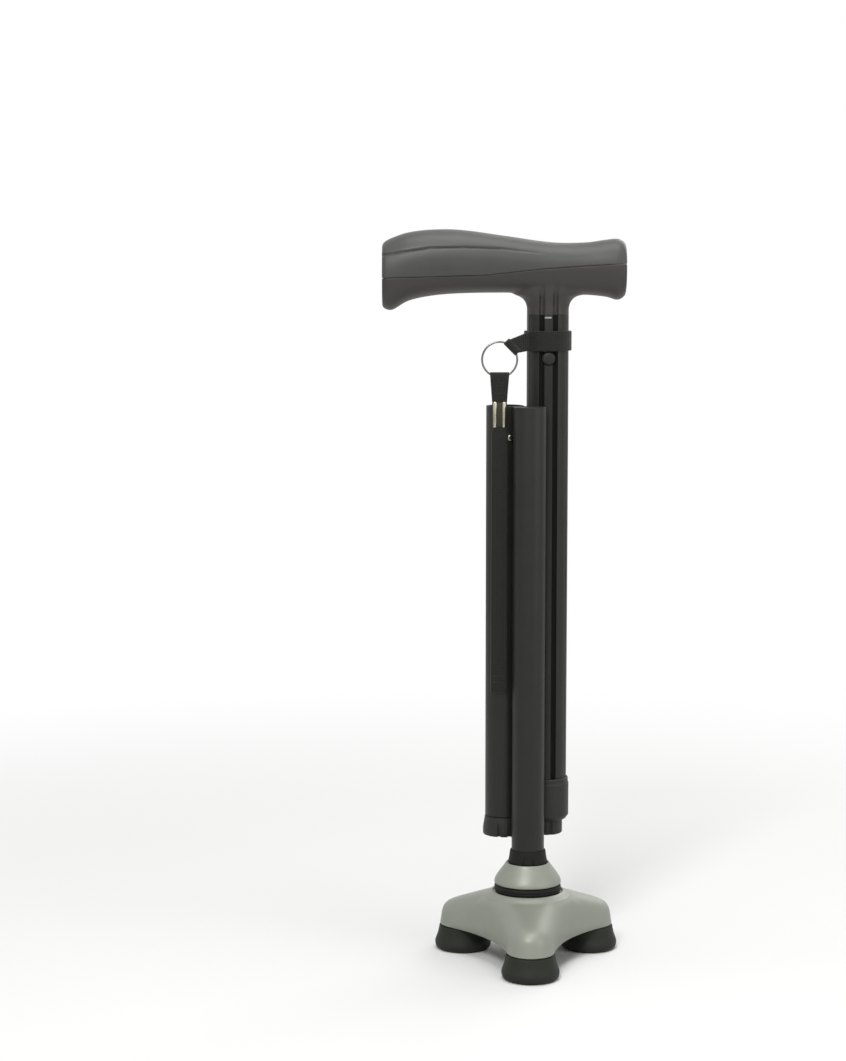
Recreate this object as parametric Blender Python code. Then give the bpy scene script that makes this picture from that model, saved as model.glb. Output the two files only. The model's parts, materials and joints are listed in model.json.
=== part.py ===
# Folding walking cane, folded: three nested sections, a T handle and a flexing three footed base.
# X runs to the right, Y away from the viewer and Z up. The cane stands on its three feet.

from math import acos, asin, atan2, cos, degrees, pi, radians, sin, sqrt

import bmesh
import bpy
from mathutils import Matrix, Vector

mm = 0.001

for old in list(bpy.data.objects):
    bpy.data.objects.remove(old, do_unlink=True)

# Clearances
fit_gap = 0.3 * mm
sliding_gap = 0.35 * mm
cord_gap = 0.3 * mm

# Heights above the floor that tie the folded sections together
land_height = 32.5 * mm
neck_bottom = land_height + 14.1 * mm
joint_end_bottom = neck_bottom + 11.2 * mm
stem_bottom = 309.7 * mm
joint_end_top = stem_bottom - 43.5 * mm

# Lower section
lower_tube_radius = 7.8 * mm
lower_tube_wall = 1.0 * mm
end_bush_length = 10.0 * mm
cord_anchor_length = 8.0 * mm
stud_insert_length = 19.9 * mm

# Middle section
middle_tube_wall = 0.85 * mm
middle_seat_depth = 12.0 * mm
middle_stop_height = 6.0 * mm
rivet_shank_radius = 1.0 * mm
rivet_head_radius = 1.6 * mm
rivet_head_height = 0.5 * mm
rivet_depth = 3.0 * mm
rivet_turn = 15
bell_radius = 10.05 * mm
bell_straight = 3.2 * mm
bell_taper = 6.0 * mm
spigot_length = 13.0 * mm

# Upper section
upper_tube_radius = 10.0 * mm
upper_tube_wall = 1.2 * mm
rib_width = 3.9 * mm
groove_width = 2.5 * mm
groove_floor = 7.9 * mm
tube_flat = 6.7 * mm
collar_radius = 11.25 * mm
collar_height = 20.6 * mm
plug_length = 7.2 * mm
plug_radius = 8.28 * mm
plug_shank_length = 16.0 * mm
key_notch_width = 1.7 * mm
key_notch_depth = 1.2 * mm
key_notch_offset = 2.4 * mm
top_bush_length = 46.0 * mm

# Elastic cord
cord_radius = 1.5 * mm
cord_bend = 3.4 * mm
cord_drop = 3.6 * mm
ferrule_wall = 1.2 * mm
ferrule_length = 5.0 * mm

# Handle post and its height lock
post_radius = 7.2 * mm
post_flat = 1.6 * mm
post_wall = 1.2 * mm
post_top = stem_bottom + 17.3 * mm
post_tail = 12.0 * mm
lock_pitch = 25.4 * mm
lock_count = 7
button_height = stem_bottom - 20.9 * mm
button_radius = 3.1 * mm
button_proud = 0.9 * mm
button_flange = 0.7 * mm
button_stem_radius = 1.5 * mm
lock_head_radius = 3.0 * mm
lock_head_height = 1.0 * mm
pocket_floor = 1.1 * mm
spring_wire = 0.2 * mm
spring_turns = 3

# Handle
stem_flare = 6.0 * mm
grip_thickness = 3.0 * mm
grip_end = 4.8 * mm
handle_left = -79.1 * mm
handle_right = 36.8 * mm
handle_squareness = 2.3
bolt_shank_radius = 2.0 * mm
bolt_head_radius = 4.0 * mm
bolt_head_height = 3.0 * mm
bolt_length = 22.0 * mm
bolt_back = 2.8 * mm
bolt_seat = stem_bottom + 25.3 * mm
post_plug_length = 14.0 * mm

# Handle outline: distance from the stem's axis, then top and underside above the stem's lower end,
# then half depth
handle_stations = (
    (-78.4 * mm, 34.1 * mm, 2.5 * mm, 13.4 * mm),
    (-74.5 * mm, 36.1 * mm, 1.9 * mm, 14.2 * mm),
    (-67.0 * mm, 38.6 * mm, 6.1 * mm, 15.0 * mm),
    (-56.0 * mm, 40.0 * mm, 8.6 * mm, 15.4 * mm),
    (-42.0 * mm, 39.9 * mm, 9.8 * mm, 15.5 * mm),
    (-20.0 * mm, 37.0 * mm, 10.1 * mm, 15.0 * mm),
    (2.0 * mm, 34.0 * mm, 9.7 * mm, 14.0 * mm),
    (18.0 * mm, 34.0 * mm, 9.1 * mm, 13.7 * mm),
    (28.0 * mm, 35.3 * mm, 8.1 * mm, 13.9 * mm),
    (33.0 * mm, 35.7 * mm, 6.7 * mm, 14.0 * mm),
    (36.1 * mm, 34.5 * mm, 7.9 * mm, 13.4 * mm),
)
# The line where the soft grip meets the hard body, seen from the front, above the stem's lower end
parting_line = (
    (-90.0 * mm, 16.6 * mm),
    (-30.0 * mm, 18.5 * mm),
    (-3.0 * mm, 21.3 * mm),
    (18.0 * mm, 22.7 * mm),
    (45.0 * mm, 24.1 * mm),
)

# Wrist strap
band_bottom = stem_bottom - 17.4 * mm
band_height = 9.5 * mm
band_proud = 1.4 * mm
tab_azimuth = 215
tab_thickness = 2.0 * mm
eye_radius = 2.3 * mm
eye_bore = 1.6 * mm
eye_length = 6.0 * mm
ring_radius = 8.3 * mm
ring_wire = 0.6 * mm
ring_centre_left = 23.4 * mm
ring_centre_front = 14.0 * mm
ring_centre_height = band_bottom - 3.8 * mm
strap_width = 7.6 * mm
strap_thickness = 1.1 * mm
strap_loop_gap = 0.8 * mm
fold_top_width = 9.2 * mm
fold_height = 13.2 * mm
crimp_height = 12.6 * mm
crimp_width = 7.4 * mm
crimp_thickness = 3.4 * mm
crimp_wall = 0.5 * mm
loop_length = 127.0 * mm

# Ankle
ankle_height = land_height + 2.25 * mm
ball_radius = 6.0 * mm
stud_neck_radius = 3.0 * mm
stud_shank_radius = 2.6 * mm
stud_shank_length = 15.4 * mm
nut_radius = 5.4 * mm
nut_height = 2.6 * mm
boot_radius = 9.4 * mm
boot_height = 6.6 * mm
boot_lip = 0.5 * mm
dome_radius = 16.1 * mm
dome_wall = 2.9 * mm
dome_bottom = land_height + 4.5 * mm
dome_top_wall = 2.5 * mm
ring_outer = dome_radius - 0.1 * mm
ring_inner = dome_radius - 3.5 * mm
socket_cap_radius = 10.6 * mm
socket_cap_height = 5.6 * mm
screw_circle = 8.4 * mm
screw_radius = 1.0 * mm
screw_head_radius = 1.7 * mm
screw_head_height = 1.3 * mm
screw_length = 12.0 * mm
screw_azimuths = {"socket_screw_1": -30, "socket_screw_2": 90, "socket_screw_3": 210}

# Base
foot_circle = 35.5 * mm
lobe_radius = 11.3 * mm
waist_radius = 22.0 * mm
base_wall = 2.4 * mm
base_bottom = land_height - 20.5 * mm
land_radius = 17.0 * mm
arm_slope = 0.345
base_shoulder = 3.0 * mm
boss_radius = 12.0 * mm
boss_depth = 11.5 * mm
foot_flare_radius = 13.8 * mm
foot_stub_height = 7.0 * mm
foot_azimuths = {"foot_front": -90, "foot_left": 150, "foot_right": 30}

# Folded layout seen from above: direction from the middle tube to the lower tube, and the angle
# from there to the upper tube. With 60 degrees the two half turns of unfolding turn the handle by
# 120 degrees, so it keeps its place over the three arms.
lower_from_middle = -52
nest_angle = 60

# Sizes that follow from the ones above
middle_tube_radius = lower_tube_radius + sliding_gap + middle_tube_wall
lower_to_middle = lower_tube_radius + bell_radius + sliding_gap
middle_to_upper = collar_radius + middle_tube_radius + sliding_gap
upper_bore = upper_tube_radius - upper_tube_wall
collar_bottom = joint_end_bottom + plug_length
upper_tube_bottom = collar_bottom + 2.6 * mm
upper_tube_top = stem_bottom - fit_gap
cord_hole = cord_radius + cord_gap
cord_lane = 2 * cord_hole
socket_ball = ball_radius + fit_gap
stem_radius = upper_tube_radius
dome_top = neck_bottom - fit_gap
link_foot = joint_end_top - cord_drop - cord_bend - cord_hole / 1.5
stop_top = joint_end_top - middle_seat_depth
rivet_height = stop_top - middle_stop_height / 2
tube_foot = joint_end_bottom + bell_straight + bell_taper + fit_gap
spigot_top = tube_foot - fit_gap + spigot_length
bell_cavity = plug_radius + fit_gap
bell_cavity_top = joint_end_bottom + plug_length + fit_gap
post_bottom = button_height - lock_pitch * (lock_count - 1) - post_tail
crimp_top = ring_centre_height - ring_radius + ring_wire + strap_thickness - fold_height
flute_offset = (rib_width + groove_width) / 2
screw_hole_bottom = land_height + socket_cap_height - screw_head_height - screw_length

# The button's parts along its own axis, measured from the tube's axis out to the front
pocket_depth = post_flat + fit_gap + pocket_floor
flange_front = tube_flat - fit_gap
flange_back = flange_front - button_flange
lock_front = post_flat - 0.1 * mm
lock_back = lock_front - lock_head_height


def bearing(degrees_round):
    """Unit vector in plan at an angle from +X."""
    return Vector((cos(radians(degrees_round)), sin(radians(degrees_round)), 0))


# Plan places of the three axes, with the origin under the middle of the whole cane's box
def plan_layout():
    lower = Vector((0, 0, 0))
    middle = lower - lower_to_middle * bearing(lower_from_middle)
    upper = middle + middle_to_upper * bearing(lower_from_middle + nest_angle)
    reach = foot_circle * cos(radians(30)) + foot_flare_radius
    left = min(upper.x + handle_left, -reach)
    right = max(upper.x + handle_right, reach)
    deepest = max(station[3] for station in handle_stations)
    front = min(-foot_circle - foot_flare_radius, upper.y - deepest)
    back = max(upper.y + deepest, foot_circle / 2 + foot_flare_radius)
    shift = Vector(((left + right) / 2, (front + back) / 2, 0))
    return lower - shift, middle - shift, upper - shift


lower_axis, middle_axis, upper_axis = plan_layout()
toward_middle = lower_from_middle + 180
toward_upper = lower_from_middle + nest_angle

# Finishes: colour, roughness, metallic
finishes = {
    "coated aluminium": ((0.032, 0.032, 0.029), 0.38, 0.6),
    "bare aluminium": ((0.55, 0.55, 0.55), 0.35, 1.0),
    "bright steel": ((0.62, 0.61, 0.58), 0.25, 1.0),
    "black plastic": ((0.022, 0.022, 0.021), 0.5, 0.0),
    "grey plastic": ((0.31, 0.32, 0.29), 0.42, 0.0),
    "soft grip": ((0.09, 0.1, 0.09), 0.6, 0.0),
    "hard body": ((0.062, 0.058, 0.055), 0.5, 0.0),
    "black rubber": ((0.018, 0.018, 0.016), 0.75, 0.0),
    "foot rubber": ((0.042, 0.045, 0.036), 0.7, 0.0),
    "webbing": ((0.015, 0.015, 0.015), 0.85, 0.0),
    "elastic cord": ((0.02, 0.02, 0.02), 0.8, 0.0),
}


def add_material(piece, finish):
    colour, roughness, metallic = finishes[finish]
    material = bpy.data.materials.new(piece.name)
    material.use_nodes = True
    shader = material.node_tree.nodes["Principled BSDF"]
    shader.inputs["Base Color"].default_value = (*colour, 1)
    shader.inputs["Roughness"].default_value = roughness
    shader.inputs["Metallic"].default_value = metallic
    piece.data.materials.append(material)


def add_piece(name, bm, finish=None):
    """Turn a bmesh into an object. Without a finish it is a cutter or another helper."""
    bmesh.ops.remove_doubles(bm, verts=bm.verts, dist=1e-6)
    bmesh.ops.recalc_face_normals(bm, faces=bm.faces)
    mesh = bpy.data.meshes.new(name)
    bm.to_mesh(mesh)
    bm.free()
    piece = bpy.data.objects.new(name, mesh)
    bpy.context.scene.collection.objects.link(piece)
    if finish is None:
        piece.hide_render = True
        piece.display_type = "WIRE"
    else:
        add_material(piece, finish)
        mesh.shade_smooth()
        mesh.set_sharp_from_angle(angle=radians(35))
    return piece


def place(piece, axis, height=0.0, parent=None, turn=0):
    """Stand a piece on a vertical axis, turned about it, under a parent empty."""
    piece.location = Vector((axis.x, axis.y, height))
    piece.rotation_euler = (0, 0, radians(turn))
    if parent is not None:
        piece.parent = parent
        piece.location -= parent.location
    return piece


def combine(piece, tool, operation="DIFFERENCE"):
    """Cut, join or intersect with a helper that keeps its place relative to the piece."""
    tool.parent = piece
    step = piece.modifiers.new(tool.name, "BOOLEAN")
    step.operation = operation
    step.object = tool
    step.solver = "EXACT"


def turned(name, profile, finish=None, segments=36):
    """Spin a closed outline of (radius, height) points about Z."""
    bm = bmesh.new()
    points = [bm.verts.new((radius, 0, height)) for radius, height in profile]
    edges = []
    for first, second in zip(points, points[1:] + points[:1]):
        if first.co.x > 0 or second.co.x > 0:
            edges.append(bm.edges.new((first, second)))
    bmesh.ops.spin(bm, geom=points + edges, axis=(0, 0, 1), angle=2 * pi, steps=segments, use_merge=True)
    return add_piece(name, bm, finish)


def extruded(name, outline, start, end, finish=None, along="Z"):
    """Push a flat outline from start to end along Z, or along Y for an outline seen from the front."""
    bm = bmesh.new()
    face = bm.faces.new([bm.verts.new((across, up, start)) for across, up in outline])
    extrusion = bmesh.ops.extrude_face_region(bm, geom=[face])
    moved = [item for item in extrusion["geom"] if isinstance(item, bmesh.types.BMVert)]
    bmesh.ops.translate(bm, verts=moved, vec=(0, 0, end - start))
    if along == "Y":
        stand_up = Matrix(((1, 0, 0), (0, 0, 1), (0, 1, 0)))
        bmesh.ops.transform(bm, matrix=stand_up.to_4x4(), verts=bm.verts)
    return add_piece(name, bm, finish)


def box(name, low, high, finish=None):
    """A block between two corners."""
    outline = ((low[0], low[1]), (high[0], low[1]), (high[0], high[1]), (low[0], high[1]))
    return extruded(name, outline, low[2], high[2], finish)


def lofted(name, rings, finish=None):
    """Skin a row of rings that have the same number of points, with flat ends."""
    bm = bmesh.new()
    loops = [[bm.verts.new(point) for point in ring] for ring in rings]
    for lower, upper in zip(loops, loops[1:]):
        for index in range(len(lower)):
            following = (index + 1) % len(lower)
            bm.faces.new((lower[index], lower[following], upper[following], upper[index]))
    bm.faces.new(loops[0])
    bm.faces.new(loops[-1])
    return add_piece(name, bm, finish)


def rod(name, route, radius, finish=None, resolution=2):
    """A round rod along a route of points."""
    curve = bpy.data.curves.new(name, "CURVE")
    curve.dimensions = "3D"
    curve.bevel_depth = radius
    curve.bevel_resolution = resolution
    curve.use_fill_caps = True
    line = curve.splines.new("POLY")
    line.points.add(len(route) - 1)
    for point, place_on_route in zip(line.points, route):
        point.co = (*place_on_route, 1)
    piece = bpy.data.objects.new(name, curve)
    bpy.context.scene.collection.objects.link(piece)
    if finish is not None:
        add_material(piece, finish)
    return piece


def peg(name, start, end, radius, segments=20):
    """A plain round helper between two points."""
    bm = bmesh.new()
    length = (end - start).length
    bmesh.ops.create_cone(bm, cap_ends=True, segments=segments, radius1=radius, radius2=radius, depth=length)
    helper = add_piece(name, bm)
    helper.location = (start + end) / 2
    helper.rotation_euler = (end - start).to_track_quat("Z", "Y").to_euler()
    return helper


def circle(radius, segments=36):
    return [(radius * cos(2 * pi * step / segments), radius * sin(2 * pi * step / segments))
            for step in range(segments)]


def arc(centre, radius, start, end, steps):
    """Points on an arc, angles in degrees."""
    return [(centre[0] + radius * cos(radians(start + (end - start) * step / steps)),
             centre[1] + radius * sin(radians(start + (end - start) * step / steps)))
            for step in range(steps + 1)]


def d_outline(radius, flat, steps=28):
    """A circle with a flat cut off its front."""
    edge = degrees(asin(flat / radius))
    return arc((0, 0), radius, -edge, 180 + edge, steps)


def add_empty(name, location):
    empty = bpy.data.objects.new(name, None)
    empty.location = location
    bpy.context.scene.collection.objects.link(empty)
    return empty


# One empty for each moving body, on the axis of the joint that carries it
lower_fold_point = (lower_axis + middle_axis) / 2
lower_fold_point.z = joint_end_top + fit_gap
upper_fold_point = middle_axis + middle_to_upper / 2 * bearing(toward_upper)
upper_fold_point.z = joint_end_bottom - fit_gap
ankle_point = Vector((lower_axis.x, lower_axis.y, ankle_height))
ring_centre = Vector((upper_axis.x - ring_centre_left, upper_axis.y - ring_centre_front, ring_centre_height))
eye_point = ring_centre + ring_radius * Vector((cos(radians(45)), 0, sin(radians(45))))
strap_point = ring_centre - Vector((0, 0, ring_radius))

lower_section = add_empty("lower_section", (lower_axis.x, lower_axis.y, 0))
ankle = add_empty("ankle", ankle_point)
base = add_empty("base", ankle_point)
upper_link = add_empty("upper_link", lower_fold_point)
middle_section = add_empty("middle_section", lower_fold_point)
lower_link = add_empty("lower_link", upper_fold_point)
upper_section = add_empty("upper_section", upper_fold_point)
button_body = add_empty("button", (upper_axis.x, upper_axis.y, button_height))
handle = add_empty("handle", (upper_axis.x, upper_axis.y, stem_bottom))
strap_ring = add_empty("strap_ring", eye_point)
strap = add_empty("strap", strap_point)


# Lower section

def make_lower_tube():
    outer = lower_tube_radius
    inner = outer - lower_tube_wall
    profile = ((outer, neck_bottom), (outer, joint_end_top), (inner, joint_end_top), (inner, neck_bottom))
    tube = turned("lower_tube", profile, "coated aluminium")
    slot_floor = joint_end_top - cord_drop - cord_lane
    lane = box("lower_tube_slot", (0, -cord_hole, slot_floor), (2 * outer, cord_hole, joint_end_top + mm))
    lane.rotation_euler = (0, 0, radians(toward_middle))
    combine(tube, lane)
    place(tube, lower_axis, 0, lower_section)


def make_lower_end_bush():
    outer = lower_tube_radius - lower_tube_wall - fit_gap
    bottom = joint_end_top - end_bush_length
    profile = ((outer, bottom), (outer, joint_end_top), (cord_hole, joint_end_top), (cord_hole, bottom))
    bush = turned("lower_end_bush", profile, "black plastic", 28)
    slot_floor = joint_end_top - cord_drop - cord_lane
    lane = box("end_bush_slot", (0, -cord_hole, slot_floor), (2 * outer, cord_hole, joint_end_top + mm))
    lane.rotation_euler = (0, 0, radians(toward_middle))
    combine(bush, lane)
    place(bush, lower_axis, 0, lower_section)


def straight_cord(name, axis, bottom, top, parent):
    cord = extruded(name, circle(cord_radius, 10), bottom, top, "elastic cord")
    place(cord, axis, 0, parent)


def cord_ferrule(name, axis, bottom, parent):
    outer = cord_hole + ferrule_wall
    profile = ((outer, bottom), (outer, bottom + ferrule_length), (cord_hole, bottom + ferrule_length),
               (cord_hole, bottom))
    place(turned(name, profile, "bare aluminium", 16), axis, 0, parent)


def make_lower_cord():
    ferrule_bottom = neck_bottom + stud_insert_length + fit_gap
    anchor_bottom = ferrule_bottom + ferrule_length + fit_gap
    outer = lower_tube_radius - lower_tube_wall - fit_gap
    profile = ((outer, anchor_bottom), (outer, anchor_bottom + cord_anchor_length),
               (cord_hole, anchor_bottom + cord_anchor_length), (cord_hole, anchor_bottom))
    place(turned("lower_cord_anchor", profile, "black plastic", 28), lower_axis, 0, lower_section)
    cord_ferrule("lower_cord_ferrule", lower_axis, ferrule_bottom, lower_section)
    straight_cord("lower_cord", lower_axis, ferrule_bottom + fit_gap, link_foot - fit_gap, lower_section)


def link_route(first_axis, second_axis, height, foot_first, foot_second, side):
    """A cord that leaves one axis, crosses to another at a height and goes in there. Side is 1 over
    the top and -1 round the bottom."""
    across = (second_axis - first_axis).normalized()
    bend_steps = 4
    route = [Vector((first_axis.x, first_axis.y, foot_first))]
    for step in range(bend_steps + 1):
        angle = radians(90 * step / bend_steps)
        out = cord_bend * (1 - cos(angle))
        up = side * cord_bend * (sin(angle) - 1)
        route.append(first_axis + across * out + Vector((0, 0, height + up)))
    for step in range(bend_steps + 1):
        angle = radians(90 * step / bend_steps)
        out = cord_bend * (1 - sin(angle))
        up = side * cord_bend * (cos(angle) - 1)
        route.append(second_axis - across * out + Vector((0, 0, height + up)))
    route.append(Vector((second_axis.x, second_axis.y, foot_second)))
    return route




def make_upper_cord_link():
    route = link_route(lower_axis, middle_axis, joint_end_top - cord_drop, link_foot, stop_top + fit_gap, 1)
    local = [point - lower_fold_point for point in route]
    cord = rod("upper_cord_link", local, cord_radius, "elastic cord")
    cord.parent = upper_link


# Middle section

def make_middle_tube():
    outer = middle_tube_radius
    inner = outer - middle_tube_wall
    profile = ((outer, tube_foot), (outer, joint_end_top), (inner, joint_end_top), (inner, tube_foot))
    tube = turned("middle_tube", profile, "coated aluminium", 40)
    slot_floor = joint_end_top - cord_drop - cord_lane
    lane = box("middle_tube_slot", (0, -cord_hole, slot_floor), (2 * outer, cord_hole, joint_end_top + mm))
    lane.rotation_euler = (0, 0, radians(lower_from_middle))
    combine(tube, lane)
    bore = rivet_shank_radius + fit_gap
    hole = turned("rivet_hole", ((0, 0), (bore, 0), (bore, 2 * outer), (0, 2 * outer)), None, 16)
    hole.location = (0, 0, rivet_height)
    hole.rotation_euler = (radians(90), 0, radians(rivet_turn))
    combine(tube, hole)
    place(tube, middle_axis, 0, middle_section)


def make_middle_stop():
    outer = middle_tube_radius - middle_tube_wall - fit_gap
    bottom = stop_top - middle_stop_height
    profile = ((outer, bottom), (outer, stop_top), (cord_hole, stop_top), (cord_hole, bottom))
    stop = turned("middle_stop", profile, "black plastic", 28)
    bore = rivet_shank_radius + fit_gap
    hole_profile = ((0, outer - rivet_depth), (bore, outer - rivet_depth), (bore, 2 * outer), (0, 2 * outer))
    hole = turned("stop_rivet_hole", hole_profile, None, 16)
    hole.location = (0, 0, rivet_height)
    hole.rotation_euler = (radians(90), 0, radians(rivet_turn))
    combine(stop, hole)
    place(stop, middle_axis, 0, middle_section)
    under_head = middle_tube_radius + fit_gap
    tip = outer - rivet_depth + fit_gap
    shank = rivet_shank_radius
    head = rivet_head_radius
    rivet = turned("middle_rivet", ((0, tip), (shank, tip), (shank, under_head), (head, under_head),
                                    (head * 0.7, under_head + rivet_head_height),
                                    (0, under_head + rivet_head_height)), "bright steel", 16)
    place(rivet, middle_axis, rivet_height, middle_section)
    rivet.rotation_euler = (radians(90), 0, radians(rivet_turn))


def make_middle_socket():
    top = tube_foot - fit_gap
    spigot = middle_tube_radius - middle_tube_wall - fit_gap
    rim = joint_end_bottom
    profile = ((bell_radius - 0.2 * mm, rim), (bell_radius, rim + 0.4 * mm),
               (bell_radius, rim + bell_straight), (middle_tube_radius + 0.1 * mm, top),
               (spigot, top), (spigot, spigot_top), (cord_hole, spigot_top),
               (cord_hole, bell_cavity_top), (bell_cavity, bell_cavity_top), (bell_cavity, rim))
    socket = turned("middle_socket", profile, "black plastic", 40)
    lane_top = rim + cord_drop + cord_lane
    lane = box("socket_slot", (0, -cord_hole, rim - mm), (2 * bell_radius, cord_hole, lane_top))
    lane.rotation_euler = (0, 0, radians(toward_upper))
    combine(socket, lane)
    for side in (-1, 1):
        left = side * key_notch_offset - key_notch_width / 2
        notch = box("socket_notch", (left, -2 * bell_radius, rim - mm),
                    (left + key_notch_width, -bell_cavity + 0.8 * mm, rim + plug_length - mm))
        combine(socket, notch)
    place(socket, middle_axis, 0, middle_section)


def make_middle_cord():
    straight_cord("middle_cord", middle_axis, bell_cavity_top + fit_gap, stop_top, middle_section)


def make_lower_cord_link():
    height = joint_end_bottom + cord_drop
    route = link_route(middle_axis, upper_axis, height, bell_cavity_top, bell_cavity_top, -1)
    local = [point - upper_fold_point for point in route]
    cord = rod("lower_cord_link", local, cord_radius, "elastic cord")
    cord.parent = lower_link


# Upper section

def ribbed_outline():
    """Round tube whose front carries a rib between two grooves."""
    inner_edge = rib_width / 2
    outer_edge = inner_edge + groove_width
    radius = upper_tube_radius
    open_angle = degrees(asin(outer_edge / radius))
    rib_angle = degrees(asin(inner_edge / radius))
    outline = arc((0, 0), radius, -90 + open_angle, 270 - open_angle, 40)
    outline += [(-outer_edge, -groove_floor), (-inner_edge, -groove_floor)]
    outline += arc((0, 0), radius, -90 - rib_angle, -90 + rib_angle, 4)
    outline += [(inner_edge, -groove_floor), (outer_edge, -groove_floor)]
    return outline


def make_upper_tube():
    tube = extruded("upper_tube", ribbed_outline(), upper_tube_bottom, upper_tube_top, "coated aluminium")
    bore = extruded("upper_tube_bore", d_outline(upper_bore, tube_flat, 36), upper_tube_bottom - mm,
                    upper_tube_top + mm)
    combine(tube, bore)
    combine(tube, button_hole("tube_button_hole", button_radius + fit_gap, 2 * upper_tube_radius, mm))
    place(tube, upper_axis, 0, upper_section)


def button_hole(name, radius, front, back):
    """A round cutter along Y at the button, from a depth in front of the axis to one nearer it."""
    cutter = turned(name, ((0, back), (radius, back), (radius, front), (0, front)), None, 24)
    cutter.location = (0, 0, button_height)
    cutter.rotation_euler = (radians(90), 0, 0)
    return cutter


def make_joint_collar():
    outer = collar_radius
    top = collar_bottom + collar_height
    sleeve = upper_tube_radius + fit_gap
    lip = plug_radius + fit_gap
    floor = upper_tube_bottom - fit_gap
    step = 0.35 * mm
    profile = ((outer - 4 * step, collar_bottom), (outer, collar_bottom + 2 * mm), (outer, top - 3 * mm),
               (outer - step, top - 2.4 * mm), (outer - step, top - 0.5 * mm), (outer - 2 * step, top),
               (sleeve, top), (sleeve, floor), (lip, floor), (lip, collar_bottom))
    place(turned("joint_collar", profile, "black plastic", 40), upper_axis, 0, upper_section)


def make_joint_plug():
    rim = joint_end_bottom
    shank_bottom = upper_tube_bottom - fit_gap
    shank_top = shank_bottom + plug_shank_length
    round_top = upper_tube_bottom - fit_gap / 3
    chamfer = 0.5 * mm
    profile = ((0, rim), (plug_radius - chamfer, rim), (plug_radius, rim + chamfer), (plug_radius, round_top),
               (0, round_top))
    plug = turned("joint_plug", profile, "black plastic")
    inside_tube = d_outline(upper_bore - fit_gap, tube_flat - fit_gap)
    combine(plug, extruded("plug_shank", inside_tube, shank_bottom, shank_top), "UNION")
    hole = extruded("plug_cord_hole", circle(cord_hole, 16), rim - mm, shank_top + mm)
    combine(plug, hole)
    lane_top = rim + cord_drop + cord_lane
    lane = box("plug_slot", (0, -cord_hole, rim - 2 * mm), (2 * plug_radius, cord_hole, lane_top))
    lane.rotation_euler = (0, 0, radians(toward_upper + 180))
    combine(plug, lane)
    for side in (-1, 1):
        left = side * key_notch_offset - key_notch_width / 2
        notch = box("plug_notch", (left, -2 * plug_radius, rim - mm),
                    (left + key_notch_width, -plug_radius + key_notch_depth, collar_bottom))
        combine(plug, notch)
    place(plug, upper_axis, 0, upper_section)
    straight_cord("upper_cord", upper_axis, bell_cavity_top + fit_gap, shank_top + fit_gap + ferrule_length,
                  upper_section)
    cord_ferrule("upper_cord_ferrule", upper_axis, shank_top + fit_gap, upper_section)


def make_top_bush():
    top = upper_tube_top
    bottom = top - top_bush_length
    inside_tube = d_outline(upper_bore - fit_gap, tube_flat - fit_gap)
    round_post = d_outline(post_radius + fit_gap, post_flat + fit_gap)
    bush = extruded("top_bush", inside_tube, bottom, top, "black plastic")
    combine(bush, extruded("bush_bore", round_post, bottom - mm, top + mm))
    flange = button_radius + button_flange + fit_gap
    combine(bush, button_hole("button_pocket", flange, 2 * upper_tube_radius, pocket_depth))
    combine(bush, button_hole("button_stem_hole", button_stem_radius + fit_gap, pocket_depth + mm, 0))
    place(bush, upper_axis, 0, upper_section)


def make_height_button():
    stem = button_stem_radius
    dome = upper_tube_radius + button_proud
    profile = ((0, lock_back), (lock_head_radius, lock_back), (lock_head_radius, lock_front),
               (stem, lock_front), (stem, flange_back), (button_radius + button_flange, flange_back),
               (button_radius + button_flange, flange_front), (button_radius, flange_front),
               (button_radius, dome - 0.8 * mm), (button_radius - 0.6 * mm, dome - 0.2 * mm), (0, dome))
    button = turned("height_button", profile, "black plastic", 24)
    button.rotation_euler = (radians(90), 0, 0)
    button.parent = button_body


def make_button_spring():
    steps = 10
    room = flange_back - pocket_depth - 2 * (fit_gap + spring_wire)
    wide = button_radius - 0.3 * mm
    narrow = button_stem_radius + fit_gap + 2 * spring_wire
    route = []
    for step in range(spring_turns * steps + 1):
        share = step / (spring_turns * steps)
        angle = 2 * pi * step / steps
        radius = wide + (narrow - wide) * share
        depth = flange_back - fit_gap - spring_wire - room * share
        route.append((radius * cos(angle), -depth, radius * sin(angle)))
    spring = rod("button_spring", route, spring_wire, "bright steel", 1)
    place(spring, upper_axis, button_height, upper_section)


# Handle

def keyhole_outline():
    """Round holes at an even pitch, joined by a narrower slot, seen from the front."""
    hole = lock_head_radius + fit_gap
    slot = button_stem_radius + fit_gap
    open_angle = degrees(acos(slot / hole))
    heights = [button_height - lock_pitch * step for step in reversed(range(lock_count))]
    right = []
    for height in heights:
        start = -90 if height == heights[0] else -open_angle
        end = 90 if height == heights[-1] else open_angle
        right += arc((0, height), hole, start, end, 10)
    left = [(-across, height) for across, height in reversed(right)]
    return right + left[1:-1]


def make_handle_post():
    post = extruded("handle_post", d_outline(post_radius, post_flat), post_bottom, post_top, "bare aluminium")
    inner = d_outline(post_radius - post_wall, post_flat - post_wall)
    combine(post, extruded("post_hollow", inner, post_bottom - mm, post_top + mm))
    combine(post, extruded("lock_slot", keyhole_outline(), -2 * post_flat, -post_flat + post_wall + 0.2 * mm,
                           None, "Y"))
    place(post, upper_axis, 0, handle)


def make_post_plug():
    top = post_top
    bottom = top - post_plug_length
    outline = d_outline(post_radius - post_wall - fit_gap, post_flat - post_wall - fit_gap)
    plug = extruded("post_plug", outline, bottom, top, "black plastic")
    combine(plug, extruded("post_plug_bore", shifted(circle(bolt_shank_radius + fit_gap, 16), 0, bolt_back),
                           bottom - mm, top + mm))
    place(plug, upper_axis, 0, handle)


def shifted(outline, across, back):
    return [(point[0] + across, point[1] + back) for point in outline]


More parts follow.
